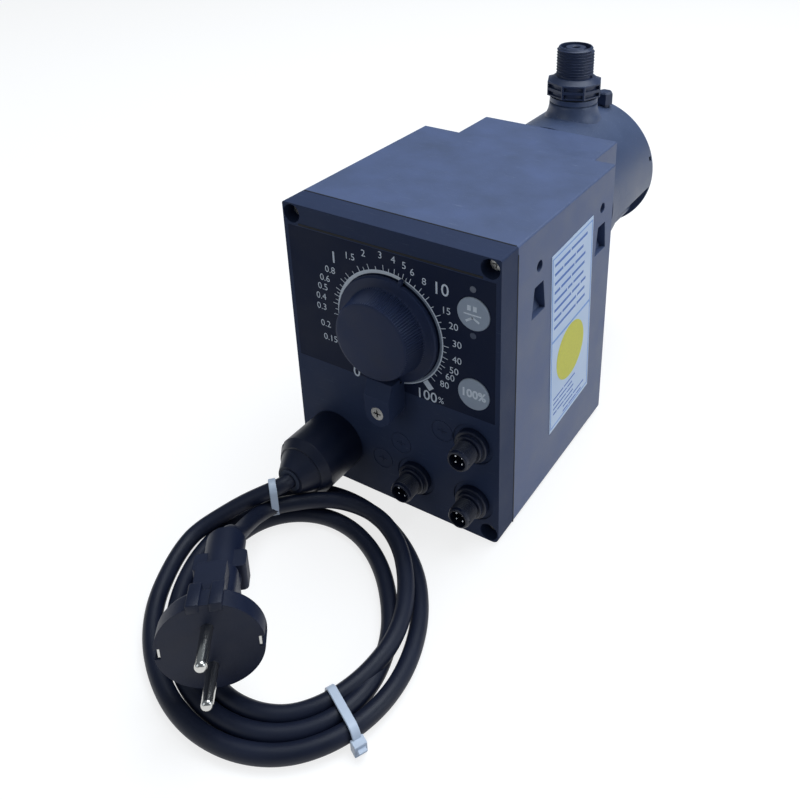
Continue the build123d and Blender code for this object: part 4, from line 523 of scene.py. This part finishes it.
def make_materials(colours):
    """All finishes, by the name of the record's slot or of the added piece."""
    make = MATERIALS
    # ABS from a fine-grained tool, dull. Housing and front frame are one near-black plastic: the housing's
    # lighter blue-grey holds painted sheen, and the front frame's darker colour is painted shade
    make["housing"] = moulded("abs_housing_fine_grain", colours.housing, "#50608A", 0.5, 0.6, 0.25, wear=0.35)
    make["front"] = moulded("abs_front_frame", colours.front, "#313C58", 0.6, 0.6, 0.2, wear=0.2, sheen=0.15)
    # polyester membrane: flat and even, slightly glossier than the frame
    make["panel"] = moulded("polyester_membrane", colours.panel, "#16203A", 0.6, 0.8, 0.05,
                             edge_mm=0.1, sheen=0.12)
    make["knob"] = moulded("abs_knob", "#151F38", "#202E50", 0.55, 0.35, 0.25, edge_mm=0.15, sheen=0.25)
    make["button"] = moulded("silicone_key", colours.key, "#B2BAC4", 0.5, 0.5, 0.06, edge_mm=0.3)
    make["lamp"] = moulded("tinted_lamp_lens", "#4A5366", "#525B6E", 0.25, 1.0, 0.0, edge_mm=0.1)
    # glass-filled nylon: darker and a little glossy
    make["connector"] = moulded("nylon_connector", "#0A1124", "#131C34", 0.4, 0.4, 0.12,
                                 edge_mm=0.25, sheen=0.35)
    make["gasket"] = moulded("rubber_gasket", "#0A0D18", "#10131E", 0.6, 0.3, 0.2, edge_mm=0.1)
    make["liner"] = moulded("grey_rubber_liner", "#3A4256", "#323A4C", 0.6, 0.3, 0.2, edge_mm=0.2)
    make["board"] = moulded("circuit_board_lacquer", "#12452B", "#185535", 0.3, 1.0, 0.05)
    make["gear"] = moulded("acetal_gear", "#D8D5C8", "#CFCBBD", 0.45, 0.5, 0.05)
    make["membrane"] = moulded("coated_diaphragm", "#DDDACE", "#D2CFC2", 0.4, 0.5, 0.05)
    make["ball"] = moulded("ceramic_ball", "#F0F0EC", "#E8E8E4", 0.12, 1.0, 0.0)
    make["head"] = moulded("polypropylene_head", "#3C4964", "#4A5878", 0.42, 0.8, 0.25, edge_mm=0.5, wear=0.8)
    make["valve"] = moulded("polypropylene_valve", "#242F49", "#2E3A58", 0.4, 0.6, 0.15,
                             edge_mm=0.3, wear=0.25)
    make["label"] = moulded("coated_paper_label", "#D8E5F8", "#CCDDF5", 0.45, 0.7, 0.03, edge_mm=0.05)
    # rubber sheath: soft sheen and a fine even grain
    make["cable"] = moulded("rubber_sheath", colours.cable, "#151D33", 0.5, 0.5, 0.25, edge_mm=0.1, sheen=0.3)
    make["plug"] = moulded("pvc_plug", "#0E1528", "#18213A", 0.5, 0.4, 0.25, edge_mm=0.5, sheen=0.3)
    # nylon 6: milky rather than white
    make["tie"] = moulded("nylon_tie", "#C9D3E2", "#BAC6D8", 0.35, 0.6, 0.05, edge_mm=0.2)
    make["screw"] = metal("zinc_plated_screw", "#B4B4B2", 0.32)
    make["steel"] = metal("turned_steel", "#9A9A9C", 0.35, 0.2, (1, 8, 8))
    make["frame_metal"] = metal("cast_aluminium", "#A9ABAD", 0.5, 0.8)
    make["bearing"] = metal("ground_bearing_steel", "#BDBDBF", 0.18, 0.2)
    make["contact"] = metal("tinned_contact", "#D5D8DE", 0.25)
    make["pin"] = metal("nickel_plated_pin", "#C9C8C4", 0.2, 0.25)
    make["ink"] = printed("white_screen_ink", colours.ink)
    make["grey_ink"] = printed("grey_screen_ink", "#7F8896")
    make["key_ink"] = printed("pale_key_ink", "#F4F8FC")
    make["blue_ink"] = printed("blue_label_ink", "#4E78C4")
    make["pale_blue"] = printed("pale_blue_label_ink", "#86ACE4")
    make["yellow"] = printed("yellow_label_disc", "#E3DC4A")
    # near-black: painted shade for the groove above the panel, and the dark joint line of the seam
    make["groove"] = printed("shadowed_groove", "#070910", 0.8)


# ------------------------------------------------------------------ operators
class PUMP_OT_solids(bpy.types.Operator):
    """Gives the solid parts their finishes."""
    bl_idname = "pump.solids"
    bl_label = "Finish solid parts"

    def execute(self, context):
        make_materials(context.scene.pump_finishes)
        slots = {part["node"]: part["material_slot"] for part in frame["record"]["subparts"]}
        for name, obj in NODES.items():
            material = MATERIALS[slots[name]]
            if not obj.data.materials:
                obj.data.materials.append(material)
            for index in range(len(obj.data.materials)):
                obj.data.materials[index] = material
        return {"FINISHED"}


def plug_point(distance):
    """Point behind the plug's face, on its axis, in millimetres."""
    turn = math.radians(PLUG_HEADING)
    tilt = math.radians(PLUG_TILT)
    axis = Vector((math.cos(turn) * math.cos(tilt), math.sin(turn) * math.cos(tilt), math.sin(tilt)))
    return Vector(PLUG_FACE) - axis * distance


def coil_point(angle, inset, height):
    """Point on a turn of the coil, a distance in from its outer edge."""
    turn = math.radians(angle)
    tilt = math.radians(COIL_ANGLE)
    x = (COIL_LONG - inset) * math.cos(turn)
    y = (COIL_SHORT - inset) * math.sin(turn)
    return (COIL_CENTRE[0] + x * math.cos(tilt) - y * math.sin(tilt),
            COIL_CENTRE[1] + x * math.sin(tilt) + y * math.cos(tilt), height)


def coil_turns():
    """Points along the coil at even angles, between the named places."""
    points = []
    angle = COIL_KEYS[0][0]
    last = COIL_KEYS[-1][0]
    while angle <= last:
        for (a0, inset0, z0), (a1, inset1, z1) in zip(COIL_KEYS, COIL_KEYS[1:]):
            if a0 <= angle <= a1:
                share = (angle - a0) / (a1 - a0)
                share = share * share * (3 - 2 * share)
                points.append(coil_point(angle, inset0 + (inset1 - inset0) * share, z0 + (z1 - z0) * share))
                break
        angle += COIL_STEP
    return points


class PUMP_OT_cable_ties(bpy.types.Operator):
    """Draws the two nylon ties round the strands that they hold."""
    bl_idname = "pump.cable_ties"
    bl_label = "Cable ties"

    def execute(self, context):
        radius = context.scene.pump_sizes.lead_diameter / MM / 2 + TIE_CLEARANCE
        ties = []
        for angle, strands in TIES:
            outer, outer_z = strands[0]
            deselect()
            rounds = []
            for inset, height in strands:
                bpy.ops.mesh.primitive_cylinder_add(
                    vertices=48, radius=radius * MM, depth=TIE_WIDTH * MM, rotation=(math.pi / 2, 0, 0),
                    location=((outer - inset) * MM, 0, (height - outer_z) * MM))
                rounds.append(context.object)
            band = joined("cable_tie", rounds)
            bpy.ops.object.transform_apply(location=True, rotation=True, scale=True)
            edit(band)
            bpy.ops.mesh.select_all(action="SELECT")
            bpy.ops.mesh.convex_hull()
            pick(band, "faces", lambda face: abs(face.normal.y) > 0.5)
            bpy.ops.mesh.delete(type="FACE")
            bpy.ops.mesh.select_all(action="SELECT")
            bpy.ops.mesh.delete_loose()
            bpy.ops.mesh.select_all(action="SELECT")
            bpy.ops.mesh.normals_make_consistent(inside=False)
            bpy.ops.object.mode_set(mode="OBJECT")
            thick = band.modifiers.new("strap", "SOLIDIFY")
            thick.thickness = TIE_THICKNESS * MM
            thick.offset = 1
            bpy.ops.object.modifier_apply(modifier="strap")
            lock = slab(*TIE_LOCK, radius + TIE_LOCK_OUT)
            lock.location.z = -TIE_LOCK_DROP * MM
            tail = slab(*TIE_TAIL, radius + TIE_TAIL_OUT)
            tail.location.z = -TIE_TAIL_DROP * MM
            settled(lock, tail)
            tie = joined("cable_tie", [band, lock, tail])
            turn = math.radians(angle + COIL_ANGLE)
            tie.matrix_world = (Matrix.Translation(Vector(coil_point(angle, outer, outer_z)) * MM)
                                @ Matrix.Rotation(turn, 4, "Z"))
            ties.append(bevelled(settled(tie), 0.25, 1, 50))
        ties = joined("cable_tie_pair", ties)
        placed(ties, Matrix(), MATERIALS["tie"])
        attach(ties, "pump")
        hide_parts("cable_ties")
        return {"FINISHED"}


class PUMP_OT_mains_lead(bpy.types.Operator):
    """Lays the mains lead from the inlet round its coil to the plug."""
    bl_idname = "pump.mains_lead"
    bl_label = "Mains lead"

    def execute(self, context):
        sizes = context.scene.pump_sizes
        route = [LEAD_START] + INLET_RUN + coil_turns() + PLUG_RUN
        route += [tuple(plug_point(PLUG_LENGTH + PLUG_STRAIGHT)), tuple(plug_point(PLUG_LENGTH))]
        curve = bpy.data.curves.new("mains_lead", "CURVE")
        curve.dimensions = "3D"
        spline = curve.splines.new("NURBS")
        spline.points.add(len(route) - 1)
        for point, (x, y, z) in zip(spline.points, route):
            point.co = (x * MM, y * MM, z * MM, 1)
        spline.order_u = 3
        spline.use_endpoint_u = True
        curve.resolution_u = 8
        curve.bevel_depth = sizes.lead_diameter / 2
        curve.bevel_resolution = 5
        curve.use_fill_caps = True
        lead = bpy.data.objects.new("mains_lead", curve)
        context.scene.collection.objects.link(lead)
        curve.materials.append(MATERIALS["cable"])
        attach(lead, "pump")
        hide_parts("mains_lead_inlet_run", "mains_lead_coil", "mains_lead_plug_run")
        return {"FINISHED"}


class PUMP_OT_plug_guides(bpy.types.Operator):
    """Models the slotted guide at the top of the plug's face."""
    bl_idname = "pump.plug_guides"
    bl_label = "Plug guides"

    def execute(self, context):
        blocks = []
        for side in (-1, 1):
            block = slab(GUIDE_DEPTH, GUIDE_WIDTH, GUIDE_HEIGHT, -GUIDE_DEPTH / 2 + GUIDE_PROUD,
                         side * GUIDE_OFFSET)
            block.location.z = GUIDE_RADIUS * MM
            blocks.append(block)
        settled(*blocks)
        guides = bevelled(joined("plug_guides", blocks), 0.5)
        place = (Matrix.Translation(Vector(PLUG_FACE) * MM)
                 @ Matrix.Rotation(math.radians(PLUG_HEADING), 4, "Z")
                 @ Matrix.Rotation(math.radians(-PLUG_TILT), 4, "Y"))
        placed(guides, place, MATERIALS["plug"])
        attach(guides, "pump")
        return {"FINISHED"}


class PUMP_OT_metering_knob(bpy.types.Operator):
    """Turns the metering knob with its ribbed grip and pointer."""
    bl_idname = "pump.metering_knob"
    bl_label = "Metering knob"

    def execute(self, context):
        ribs = context.scene.pump_sizes.ribs
        profile = [
            (SKIRT - 0.5, 0.4), (SKIRT, 0.9), (SKIRT, 2.4), (SKIRT - 0.6, 3.0), (23.4, 3.05), (22.6, 3.4),
            (22.4, 4.2), (20.45, 14.1), (20.0, 14.8), (19.4, 15.1), (18.6, 15.2), (4.0, 15.2),
        ]
        knob = turned("metering_knob", profile, sides=2 * ribs, start="NGON", end=True)
        edit(knob)

        def groove(vertex):
            radius = math.hypot(vertex.co.x, vertex.co.y) / MM
            height = vertex.co.z / MM
            step = math.atan2(vertex.co.y, vertex.co.x) / (2 * math.pi) * 2 * ribs
            return 20.3 < radius < 22.5 and height > 4.0 and round(step) % 2 == 0

        pick(knob, "vertices", groove)
        bpy.ops.transform.resize(value=(RIB_GROOVE, RIB_GROOVE, 1), center_override=(0, 0, 0.009))
        bpy.ops.object.mode_set(mode="OBJECT")
        turn = math.radians(POINTER_ANGLE)
        pointer = slab(4.6, 1.9, 2.4)
        pointer.matrix_world = (Matrix.Rotation(turn, 4, "Z")
                                @ Matrix.Translation((POINTER_OUT * MM, 0, 0.5 * MM)))
        bevelled(settled(pointer), 0.3)
        knob = joined("metering_knob", [knob, pointer])
        placed(knob, towards_operator(0, DIAL_Z), MATERIALS["knob"], smooth=25)
        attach(knob, "dial")
        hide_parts("dial_knob")
        return {"FINISHED"}


class PUMP_OT_dial_print(bpy.types.Operator):
    """Prints the dial's ring, ticks and figures on the membrane."""
    bl_idname = "pump.dial_print"
    bl_label = "Dial print"

    def execute(self, context):
        white = [arc("ring_left", RING_INNER, RING_RADIUS, 70, 229, INK),
                 arc("ring_rim", RING_RIM, RING_RADIUS, -96, 70, INK)]
        ticks = [(value, TICK_LONG) for value in TICKED]
        ticks += [(math.sqrt(low * high), TICK_SHORT) for low, high in zip(TICKED, TICKED[1:])]
        for value, length in ticks:
            angle = dial_angle(value)
            turn = math.radians(angle)
            middle = RING_RADIUS + length / 2
            x, y = middle * math.cos(turn), middle * math.sin(turn)
            white.append(slab(length, TICK_WIDTH, INK, x, y, angle))
        turn = math.radians(dial_angle(100))
        white.append(slab(5.2, 3.4, INK, 33.0 * math.cos(turn), 33.0 * math.sin(turn), dial_angle(100)))
        for text, x, z, height in DIAL_FIGURES:
            white.append(figures(text, x, z - DIAL_Z, height, INK, 0.05 if height > 5 else 0.0))
        print_piece = joined("dial_print", white)
        placed(print_piece, towards_operator(0, DIAL_Z), MATERIALS["ink"], smooth=0)
        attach(print_piece, "pump")
        grey = arc("dial_band", RING_INNER, 29.5, -88, 70, INK)
        placed(grey, towards_operator(0, DIAL_Z), MATERIALS["grey_ink"], smooth=0)
        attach(grey, "pump")
        return {"FINISHED"}


class PUMP_OT_key_print(bpy.types.Operator):
    """Prints a plain symbol on the upper key and 100% on the lower one."""
    bl_idname = "pump.key_print"
    bl_label = "Key print"

    def execute(self, context):
        face = PANEL_Y - KEY_RISE
        bars = [slab(1.9, 2.6, INK, -2.0, 2.9), slab(1.9, 2.6, INK, 1.0, 2.9),
                slab(8.9, 0.7, INK, -0.3, -0.3), slab(4.4, 1.1, INK, -1.9, -2.9, 35),
                slab(4.4, 1.1, INK, 1.3, -2.5, -30)]
        upper = joined("run_key_symbol", bars)
        placed(upper, towards_operator(*MODE_KEY, face), MATERIALS["key_ink"], smooth=0)
        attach(upper, "mode_key")
        lower = joined("full_key_figures", [figures("100%", 0, 0, 4.3, INK, 0.22)])
        placed(lower, towards_operator(*FULL_KEY, face), MATERIALS["key_ink"], smooth=0)
        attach(lower, "full_key")
        return {"FINISHED"}


class PUMP_OT_label_print(bpy.types.Operator):
    """Prints plain lines, a border and a yellow disc on the service label."""
    bl_idname = "pump.label_print"
    bl_label = "Label print"

    def execute(self, context):
        # the label's own axes: X along its width, Y up it, Z out of the wall
        axes = Matrix(((0, 0, 1, 0), (1, 0, 0, 0), (0, 1, 0, 0), (0, 0, 0, 1)))
        place = (Matrix.Translation(Vector(LABEL_CENTRE) * MM)
                 @ Matrix.Rotation(math.radians(LABEL_TILT), 4, "X") @ axes)
        dark = []
        for row, words in enumerate(LABEL_ROWS):
            across = -20.5
            for length in words:
                dark.append(slab(length, 1.5, LABEL_INK, across + length / 2, 47.5 - row * 5.2))
                across += length + 1.3
        for row in range(6):
            across = -20.0 if row < 4 else -8.0
            for length in LABEL_ROWS[row % 4]:
                if across + length * 0.7 > 20.5:
                    break
                dark.append(slab(length * 0.7, 0.9, LABEL_INK, across + length * 0.35, -34.0 - row * 3.2))
                across += length * 0.7 + 0.9
        lines = joined("label_lines", dark)
        placed(lines, place, MATERIALS["blue_ink"], smooth=0)
        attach(lines, "pump")
        rim = [slab(46, 0.8, INK, 0, 51.8), slab(46, 0.8, INK, 0, -51.8),
               slab(0.8, 104, INK, -22.8, 0), slab(0.8, 104, INK, 22.8, 0), slab(46, 1.4, INK, 0, 3.6)]
        border = joined("label_border", rim)
        placed(border, place, MATERIALS["pale_blue"], smooth=0)
        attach(border, "pump")
        disc = turned("label_disc", [(16.4, 0.0), (16.4, 0.08)], sides=96, start="NGON", end=True)
        disc.matrix_world = Matrix.Translation((-0.5 * MM, -14.0 * MM, 0))
        placed(disc, place, MATERIALS["yellow"], smooth=0)
        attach(disc, "pump")
        return {"FINISHED"}


class PUMP_OT_signal_sockets(bpy.types.Operator):
    """Models the three threaded signal sockets."""
    bl_idname = "pump.signal_sockets"
    bl_label = "Signal sockets"

    def execute(self, context):
        pitch = context.scene.pump_sizes.socket_pitch / MM
        for node, (x, z) in SOCKETS.items():
            body = turned(node + "_turned", [
                (4.4, -9.0), (7.4, -9.0), (7.4, -0.5), (8.8, -0.5), (8.8, 2.5), (8.4, 3.0), (7.2, 3.05),
                (7.2, 4.6), (6.8, 5.0), (5.45, 5.1), (5.45, 14.1), (5.0, 14.5), (4.4, 14.5),
                (4.4, -9.0)], sides=72)
            ridge = thread_ridge(node + "_thread", 5.4, 6.0, pitch, 5.9, 13.9, sides=40)
            shell = joined(node + "_threaded", [body, ridge])
            placed(shell, towards_operator(x, z), MATERIALS["connector"], smooth=25)
            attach(shell, "pump")
            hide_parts(node)
        return {"FINISHED"}


class PUMP_OT_valve_bodies(bpy.types.Operator):
    """Models the threaded valve bodies with their eight-sided nuts."""
    bl_idname = "pump.valve_bodies"
    bl_label = "Valve bodies"

    def execute(self, context):
        pitch = context.scene.pump_sizes.port_pitch / MM
        for node, side in (("discharge_valve_body", 1), ("suction_valve_body", -1)):
            corner = NUT_ACROSS / 2 / math.cos(math.pi / 8)
            deselect()
            bpy.ops.mesh.primitive_cylinder_add(vertices=8, radius=corner * MM, depth=NUT_HEIGHT * MM,
                                                location=(0, 0, NUT_MIDDLE * MM))
            nut = context.object
            bpy.ops.object.transform_apply(location=True, rotation=True, scale=True)
            edit(nut)
            bpy.ops.mesh.select_all(action="SELECT")
            bpy.ops.mesh.bisect(plane_co=(0, 0, 0.0207), plane_no=(0, 0, 1))
            pick(nut, "faces", lambda face: abs(face.normal.z) < 0.5)
            bpy.ops.mesh.inset(thickness=0.0009, use_individual=True)
            bpy.ops.mesh.inset(thickness=0.0002, depth=-0.0022, use_individual=True)
            bpy.ops.object.mode_set(mode="OBJECT")
            core = turned(node + "_core", [
                (4.6, 0.0), (9.0, 0.0), (9.0, 16.6), (15.0, 16.7), (15.0, 25.0), (15.85, 25.0), (12.6, 27.5),
                (10.5, 27.6), (10.5, 45.3), (9.9, 46.0), (9.2, 46.0), (9.2, 43.0), (6.2, 43.0), (6.2, 44.9),
                (5.9, 45.4), (2.9, 45.4), (2.4, 44.9), (2.4, 10.5), (4.6, 10.5), (4.6, 0.0)], sides=96)
            ridge = thread_ridge(node + "_thread", 10.4, 11.45, pitch, 28.4, 45.3)
            body = joined(node + "_threaded", [nut, core, ridge])
            turn = Matrix.Rotation(0 if side > 0 else math.pi, 4, "X")
            place = Matrix.Translation((0, VALVE_Y * MM, (HEAD_Z + side * VALVE_FOOT) * MM)) @ turn
            placed(body, place, MATERIALS["valve"], smooth=28)
            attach(body, "pump")
            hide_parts(node)
        return {"FINISHED"}


class PUMP_OT_frame_marks(bpy.types.Operator):
    """Raises the round moulding marks on the front frame."""
    bl_idname = "pump.frame_marks"
    bl_label = "Moulding marks"

    def execute(self, context):
        rings = []
        for x, z in ((-8.3, 24.3), (3.7, 39.0), (28.4, 56.7)):
            ring = turned("moulding_mark", [
                (5.6, 0.0), (5.7, 0.18), (6.0, 0.18), (6.1, 0.0), (5.6, 0.0)], sides=64)
            ring.matrix_world = Matrix.Translation((x * MM, z * MM, 0))
            rings.append(settled(ring))
            rings.append(slab(5.0, 0.45, 0.16, x, z))
            rings.append(slab(0.45, 3.0, 0.16, x, z))
        marks = joined("moulding_marks", rings)
        placed(marks, towards_operator(0, 0), MATERIALS["front"])
        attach(marks, "pump")
        return {"FINISHED"}


class PUMP_OT_seam_lines(bpy.types.Operator):
    """Draws a near-black strip of painted shade in the groove above the panel, and the dark joint between
    frame and housing.
    """
    bl_idname = "pump.seam_lines"
    bl_label = "Seam lines"

    def execute(self, context):
        (left, _, _), (right, _, top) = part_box("front_frame")
        left, right, top = left / MM, right / MM, top / MM
        # a flat near-black strip: painted shade standing in for the recess above the panel
        groove = joined("panel_groove", [slab(right - left - 18, 1.1, 0.12, 0, GROOVE_SHADE_Z)])
        placed(groove, towards_operator(0, 0), MATERIALS["groove"], smooth=0)
        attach(groove, "pump")
        middle = (left + right) / 2
        width = right - left
        lines = [slab(width - 2, 0.8, 0.2, middle, SEAM_Y)]
        lines[0].location.z = (top - 0.1) * MM
        for side in (left, right):
            wall = slab(0.2, 0.8, top - 6, side, SEAM_Y)
            wall.location.z += 2 * MM
            lines.append(wall)
        settled(*lines)
        seam = joined("seam_line", lines)
        placed(seam, Matrix(), MATERIALS["groove"], smooth=0)
        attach(seam, "pump")
        return {"FINISHED"}


class PUMP_OT_neck_collar(bpy.types.Operator):
    """Models the flare where the upper neck grows out of the head's cover."""
    bl_idname = "pump.neck_collar"
    bl_label = "Neck collar"

    def execute(self, context):
        foot = HEAD_Z + NECK_FOOT
        flare = [(14.85, 0.0), (17.6, 0.0), (17.3, 3.2), (16.5, 4.6), (15.7, 6.6), (15.1, 9.4), (14.85, 12.6),
                 (14.85, 0.0)]
        collar = turned("neck_collar", [(radius, height + foot) for radius, height in flare], sides=96)
        placed(collar, Matrix.Translation((0, VALVE_Y * MM, 0)), MATERIALS["head"], smooth=50)
        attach(collar, "pump")
        return {"FINISHED"}


class PUMP_OT_stage(bpy.types.Operator):
    """Sets the pale floor, the soft lights and the camera."""
    bl_idname = "pump.stage"
    bl_label = "Stage"

    def execute(self, context):
        scene = context.scene
        scene.view_settings.view_transform = "Standard"
        deselect()
        bpy.ops.mesh.primitive_plane_add(size=8, location=(0, 0, -0.0002))
        floor = context.object
        floor.name = "floor"
        material, tree = new_material("pale_floor")
        rays = add(tree, "ShaderNodeLightPath")
        seen = add(tree, "ShaderNodeMath", {"operation": "MAXIMUM"})
        tree.links.new(rays.outputs["Is Camera Ray"], seen.inputs[0])
        tree.links.new(rays.outputs["Is Glossy Ray"], seen.inputs[1])
        clear = add(tree, "ShaderNodeMath", {"operation": "MAXIMUM"})
        tree.links.new(seen.outputs[0], clear.inputs[0])
        tree.links.new(rays.outputs["Is Transmission Ray"], clear.inputs[1])
        matt = add(tree, "ShaderNodeBsdfDiffuse", {"Color": (0.20, 0.23, 0.29, 1)})
        shade = add(tree, "ShaderNodeBsdfDiffuse", {"Color": (0.30, 0.30, 0.30, 1)})
        glow = add(tree, "ShaderNodeEmission", {"Color": (1, 1, 1, 1), "Strength": 0.78})
        both = add(tree, "ShaderNodeAddShader")
        tree.links.new(shade.outputs[0], both.inputs[0])
        tree.links.new(glow.outputs[0], both.inputs[1])
        mix = add(tree, "ShaderNodeMixShader", None, {"Fac": (clear, 0)})
        tree.links.new(matt.outputs[0], mix.inputs[1])
        tree.links.new(both.outputs[0], mix.inputs[2])
        add(tree, "ShaderNodeOutputMaterial", None, {"Surface": (mix, "Shader")})
        floor.data.materials.append(material)

        world = bpy.data.worlds.new("studio")
        scene.world = world
        world.use_nodes = True
        tree = world.node_tree
        tree.nodes.clear()
        rays = add(tree, "ShaderNodeLightPath")
        seen = add(tree, "ShaderNodeMath", {"operation": "MAXIMUM"})
        tree.links.new(rays.outputs["Is Camera Ray"], seen.inputs[0])
        tree.links.new(rays.outputs["Is Transmission Ray"], seen.inputs[1])
        strength = add(tree, "ShaderNodeMapRange",
                       {"From Min": 0.0, "From Max": 1.0, "To Min": AMBIENT, "To Max": 1.0},
                       {"Value": (seen, 0)})
        # daylight tint on the object only; what the camera sees stays white
        tint = add(tree, "ShaderNodeMix", {"data_type": "RGBA"}, {"Factor": (seen, 0)})
        tint.inputs[6].default_value = SKY_TINT
        tint.inputs[7].default_value = (1, 1, 1, 1)
        sky = add(tree, "ShaderNodeBackground", None, {"Strength": (strength, "Result"), "Color": (tint, 2)})
        add(tree, "ShaderNodeOutputWorld", None, {"Surface": (sky, "Background")})

        for name, power, size, place, target in (
                ("overhead_softbox", 22.5, 1.2, (0.15, 0.45, 1.5), (0.0, 0.0, 0.08)),
                ("right_softbox", 8.0, 1.0, (1.5, 0.3, 0.75), (0.0, 0.0, 0.08)),
                ("front_fill", 3.4, 1.0, (-0.5, -1.5, 0.8), (0.0, -0.1, 0.06))):
            deselect()
            bpy.ops.object.light_add(type="AREA", location=place)
            lamp = context.object
            lamp.name = name
            lamp.data.energy = power
            lamp.data.size = size
            lamp.data.color = LAMP_TINT
            lamp.rotation_euler = (Vector(target) - Vector(place)).to_track_quat("-Z", "Y").to_euler()

        deselect()
        bpy.ops.object.camera_add(location=CAMERA_PLACE)
        camera = context.object
        camera.name = "viewpoint"
        turn, drop, roll = (math.radians(v) for v in CAMERA_ANGLES)
        ahead = Vector((-math.sin(turn) * math.cos(drop), math.cos(turn) * math.cos(drop), -math.sin(drop)))
        right = Vector((math.cos(turn), math.sin(turn), 0))
        up = right.cross(ahead)
        right_rolled = right * math.cos(roll) + up * math.sin(roll)
        up_rolled = up * math.cos(roll) - right * math.sin(roll)
        axes = Matrix((right_rolled, up_rolled, -ahead)).transposed().to_4x4()
        camera.matrix_world = Matrix.Translation(CAMERA_PLACE) @ axes
        camera.data.sensor_width = SENSOR_WIDTH
        camera.data.lens = CAMERA_FOCAL_PX * SENSOR_WIDTH / PICTURE_PX
        camera.data.shift_x = (PICTURE_PX / 2 - CAMERA_CENTRE_PX[0]) / PICTURE_PX
        camera.data.shift_y = (CAMERA_CENTRE_PX[1] - PICTURE_PX / 2) / PICTURE_PX
        camera.data.clip_start = 0.01
        scene.camera = camera
        return {"FINISHED"}


class PUMP_PT_sidebar(bpy.types.Panel):
    """Lists the pump's pieces, sizes and finishes."""
    bl_label = "Metering Pump"
    bl_idname = "PUMP_PT_sidebar"
    bl_space_type = "VIEW_3D"
    bl_region_type = "UI"
    bl_category = "Metering Pump"

    def draw(self, context):
        layout = self.layout
        for group in (context.scene.pump_sizes, context.scene.pump_finishes):
            for name in group.bl_rna.properties.keys():
                if name not in ("rna_type", "name"):
                    layout.prop(group, name)
        for operator in OPERATORS:
            layout.operator(operator.bl_idname)


OPERATORS = (
    PUMP_OT_solids,
    PUMP_OT_stage,
    PUMP_OT_cable_ties,
    PUMP_OT_plug_guides,
    PUMP_OT_mains_lead,
    PUMP_OT_metering_knob,
    PUMP_OT_dial_print,
    PUMP_OT_key_print,
    PUMP_OT_label_print,
    PUMP_OT_signal_sockets,
    PUMP_OT_valve_bodies,
    PUMP_OT_frame_marks,
    PUMP_OT_seam_lines,
    PUMP_OT_neck_collar,
)
CLASSES = (PumpFinishes, PumpSizes) + OPERATORS + (PUMP_PT_sidebar,)


def register():
    for cls in CLASSES:
        bpy.utils.register_class(cls)
    bpy.types.Scene.pump_finishes = bpy.props.PointerProperty(type=PumpFinishes)
    bpy.types.Scene.pump_sizes = bpy.props.PointerProperty(type=PumpSizes)


def unregister():
    del bpy.types.Scene.pump_sizes
    del bpy.types.Scene.pump_finishes
    for cls in reversed(CLASSES):
        bpy.utils.unregister_class(cls)


def main():
    register()
    for operator in OPERATORS:
        group, name = operator.bl_idname.split(".")
        getattr(getattr(bpy.ops, group), name)()


if __name__ == "__main__":
    main()
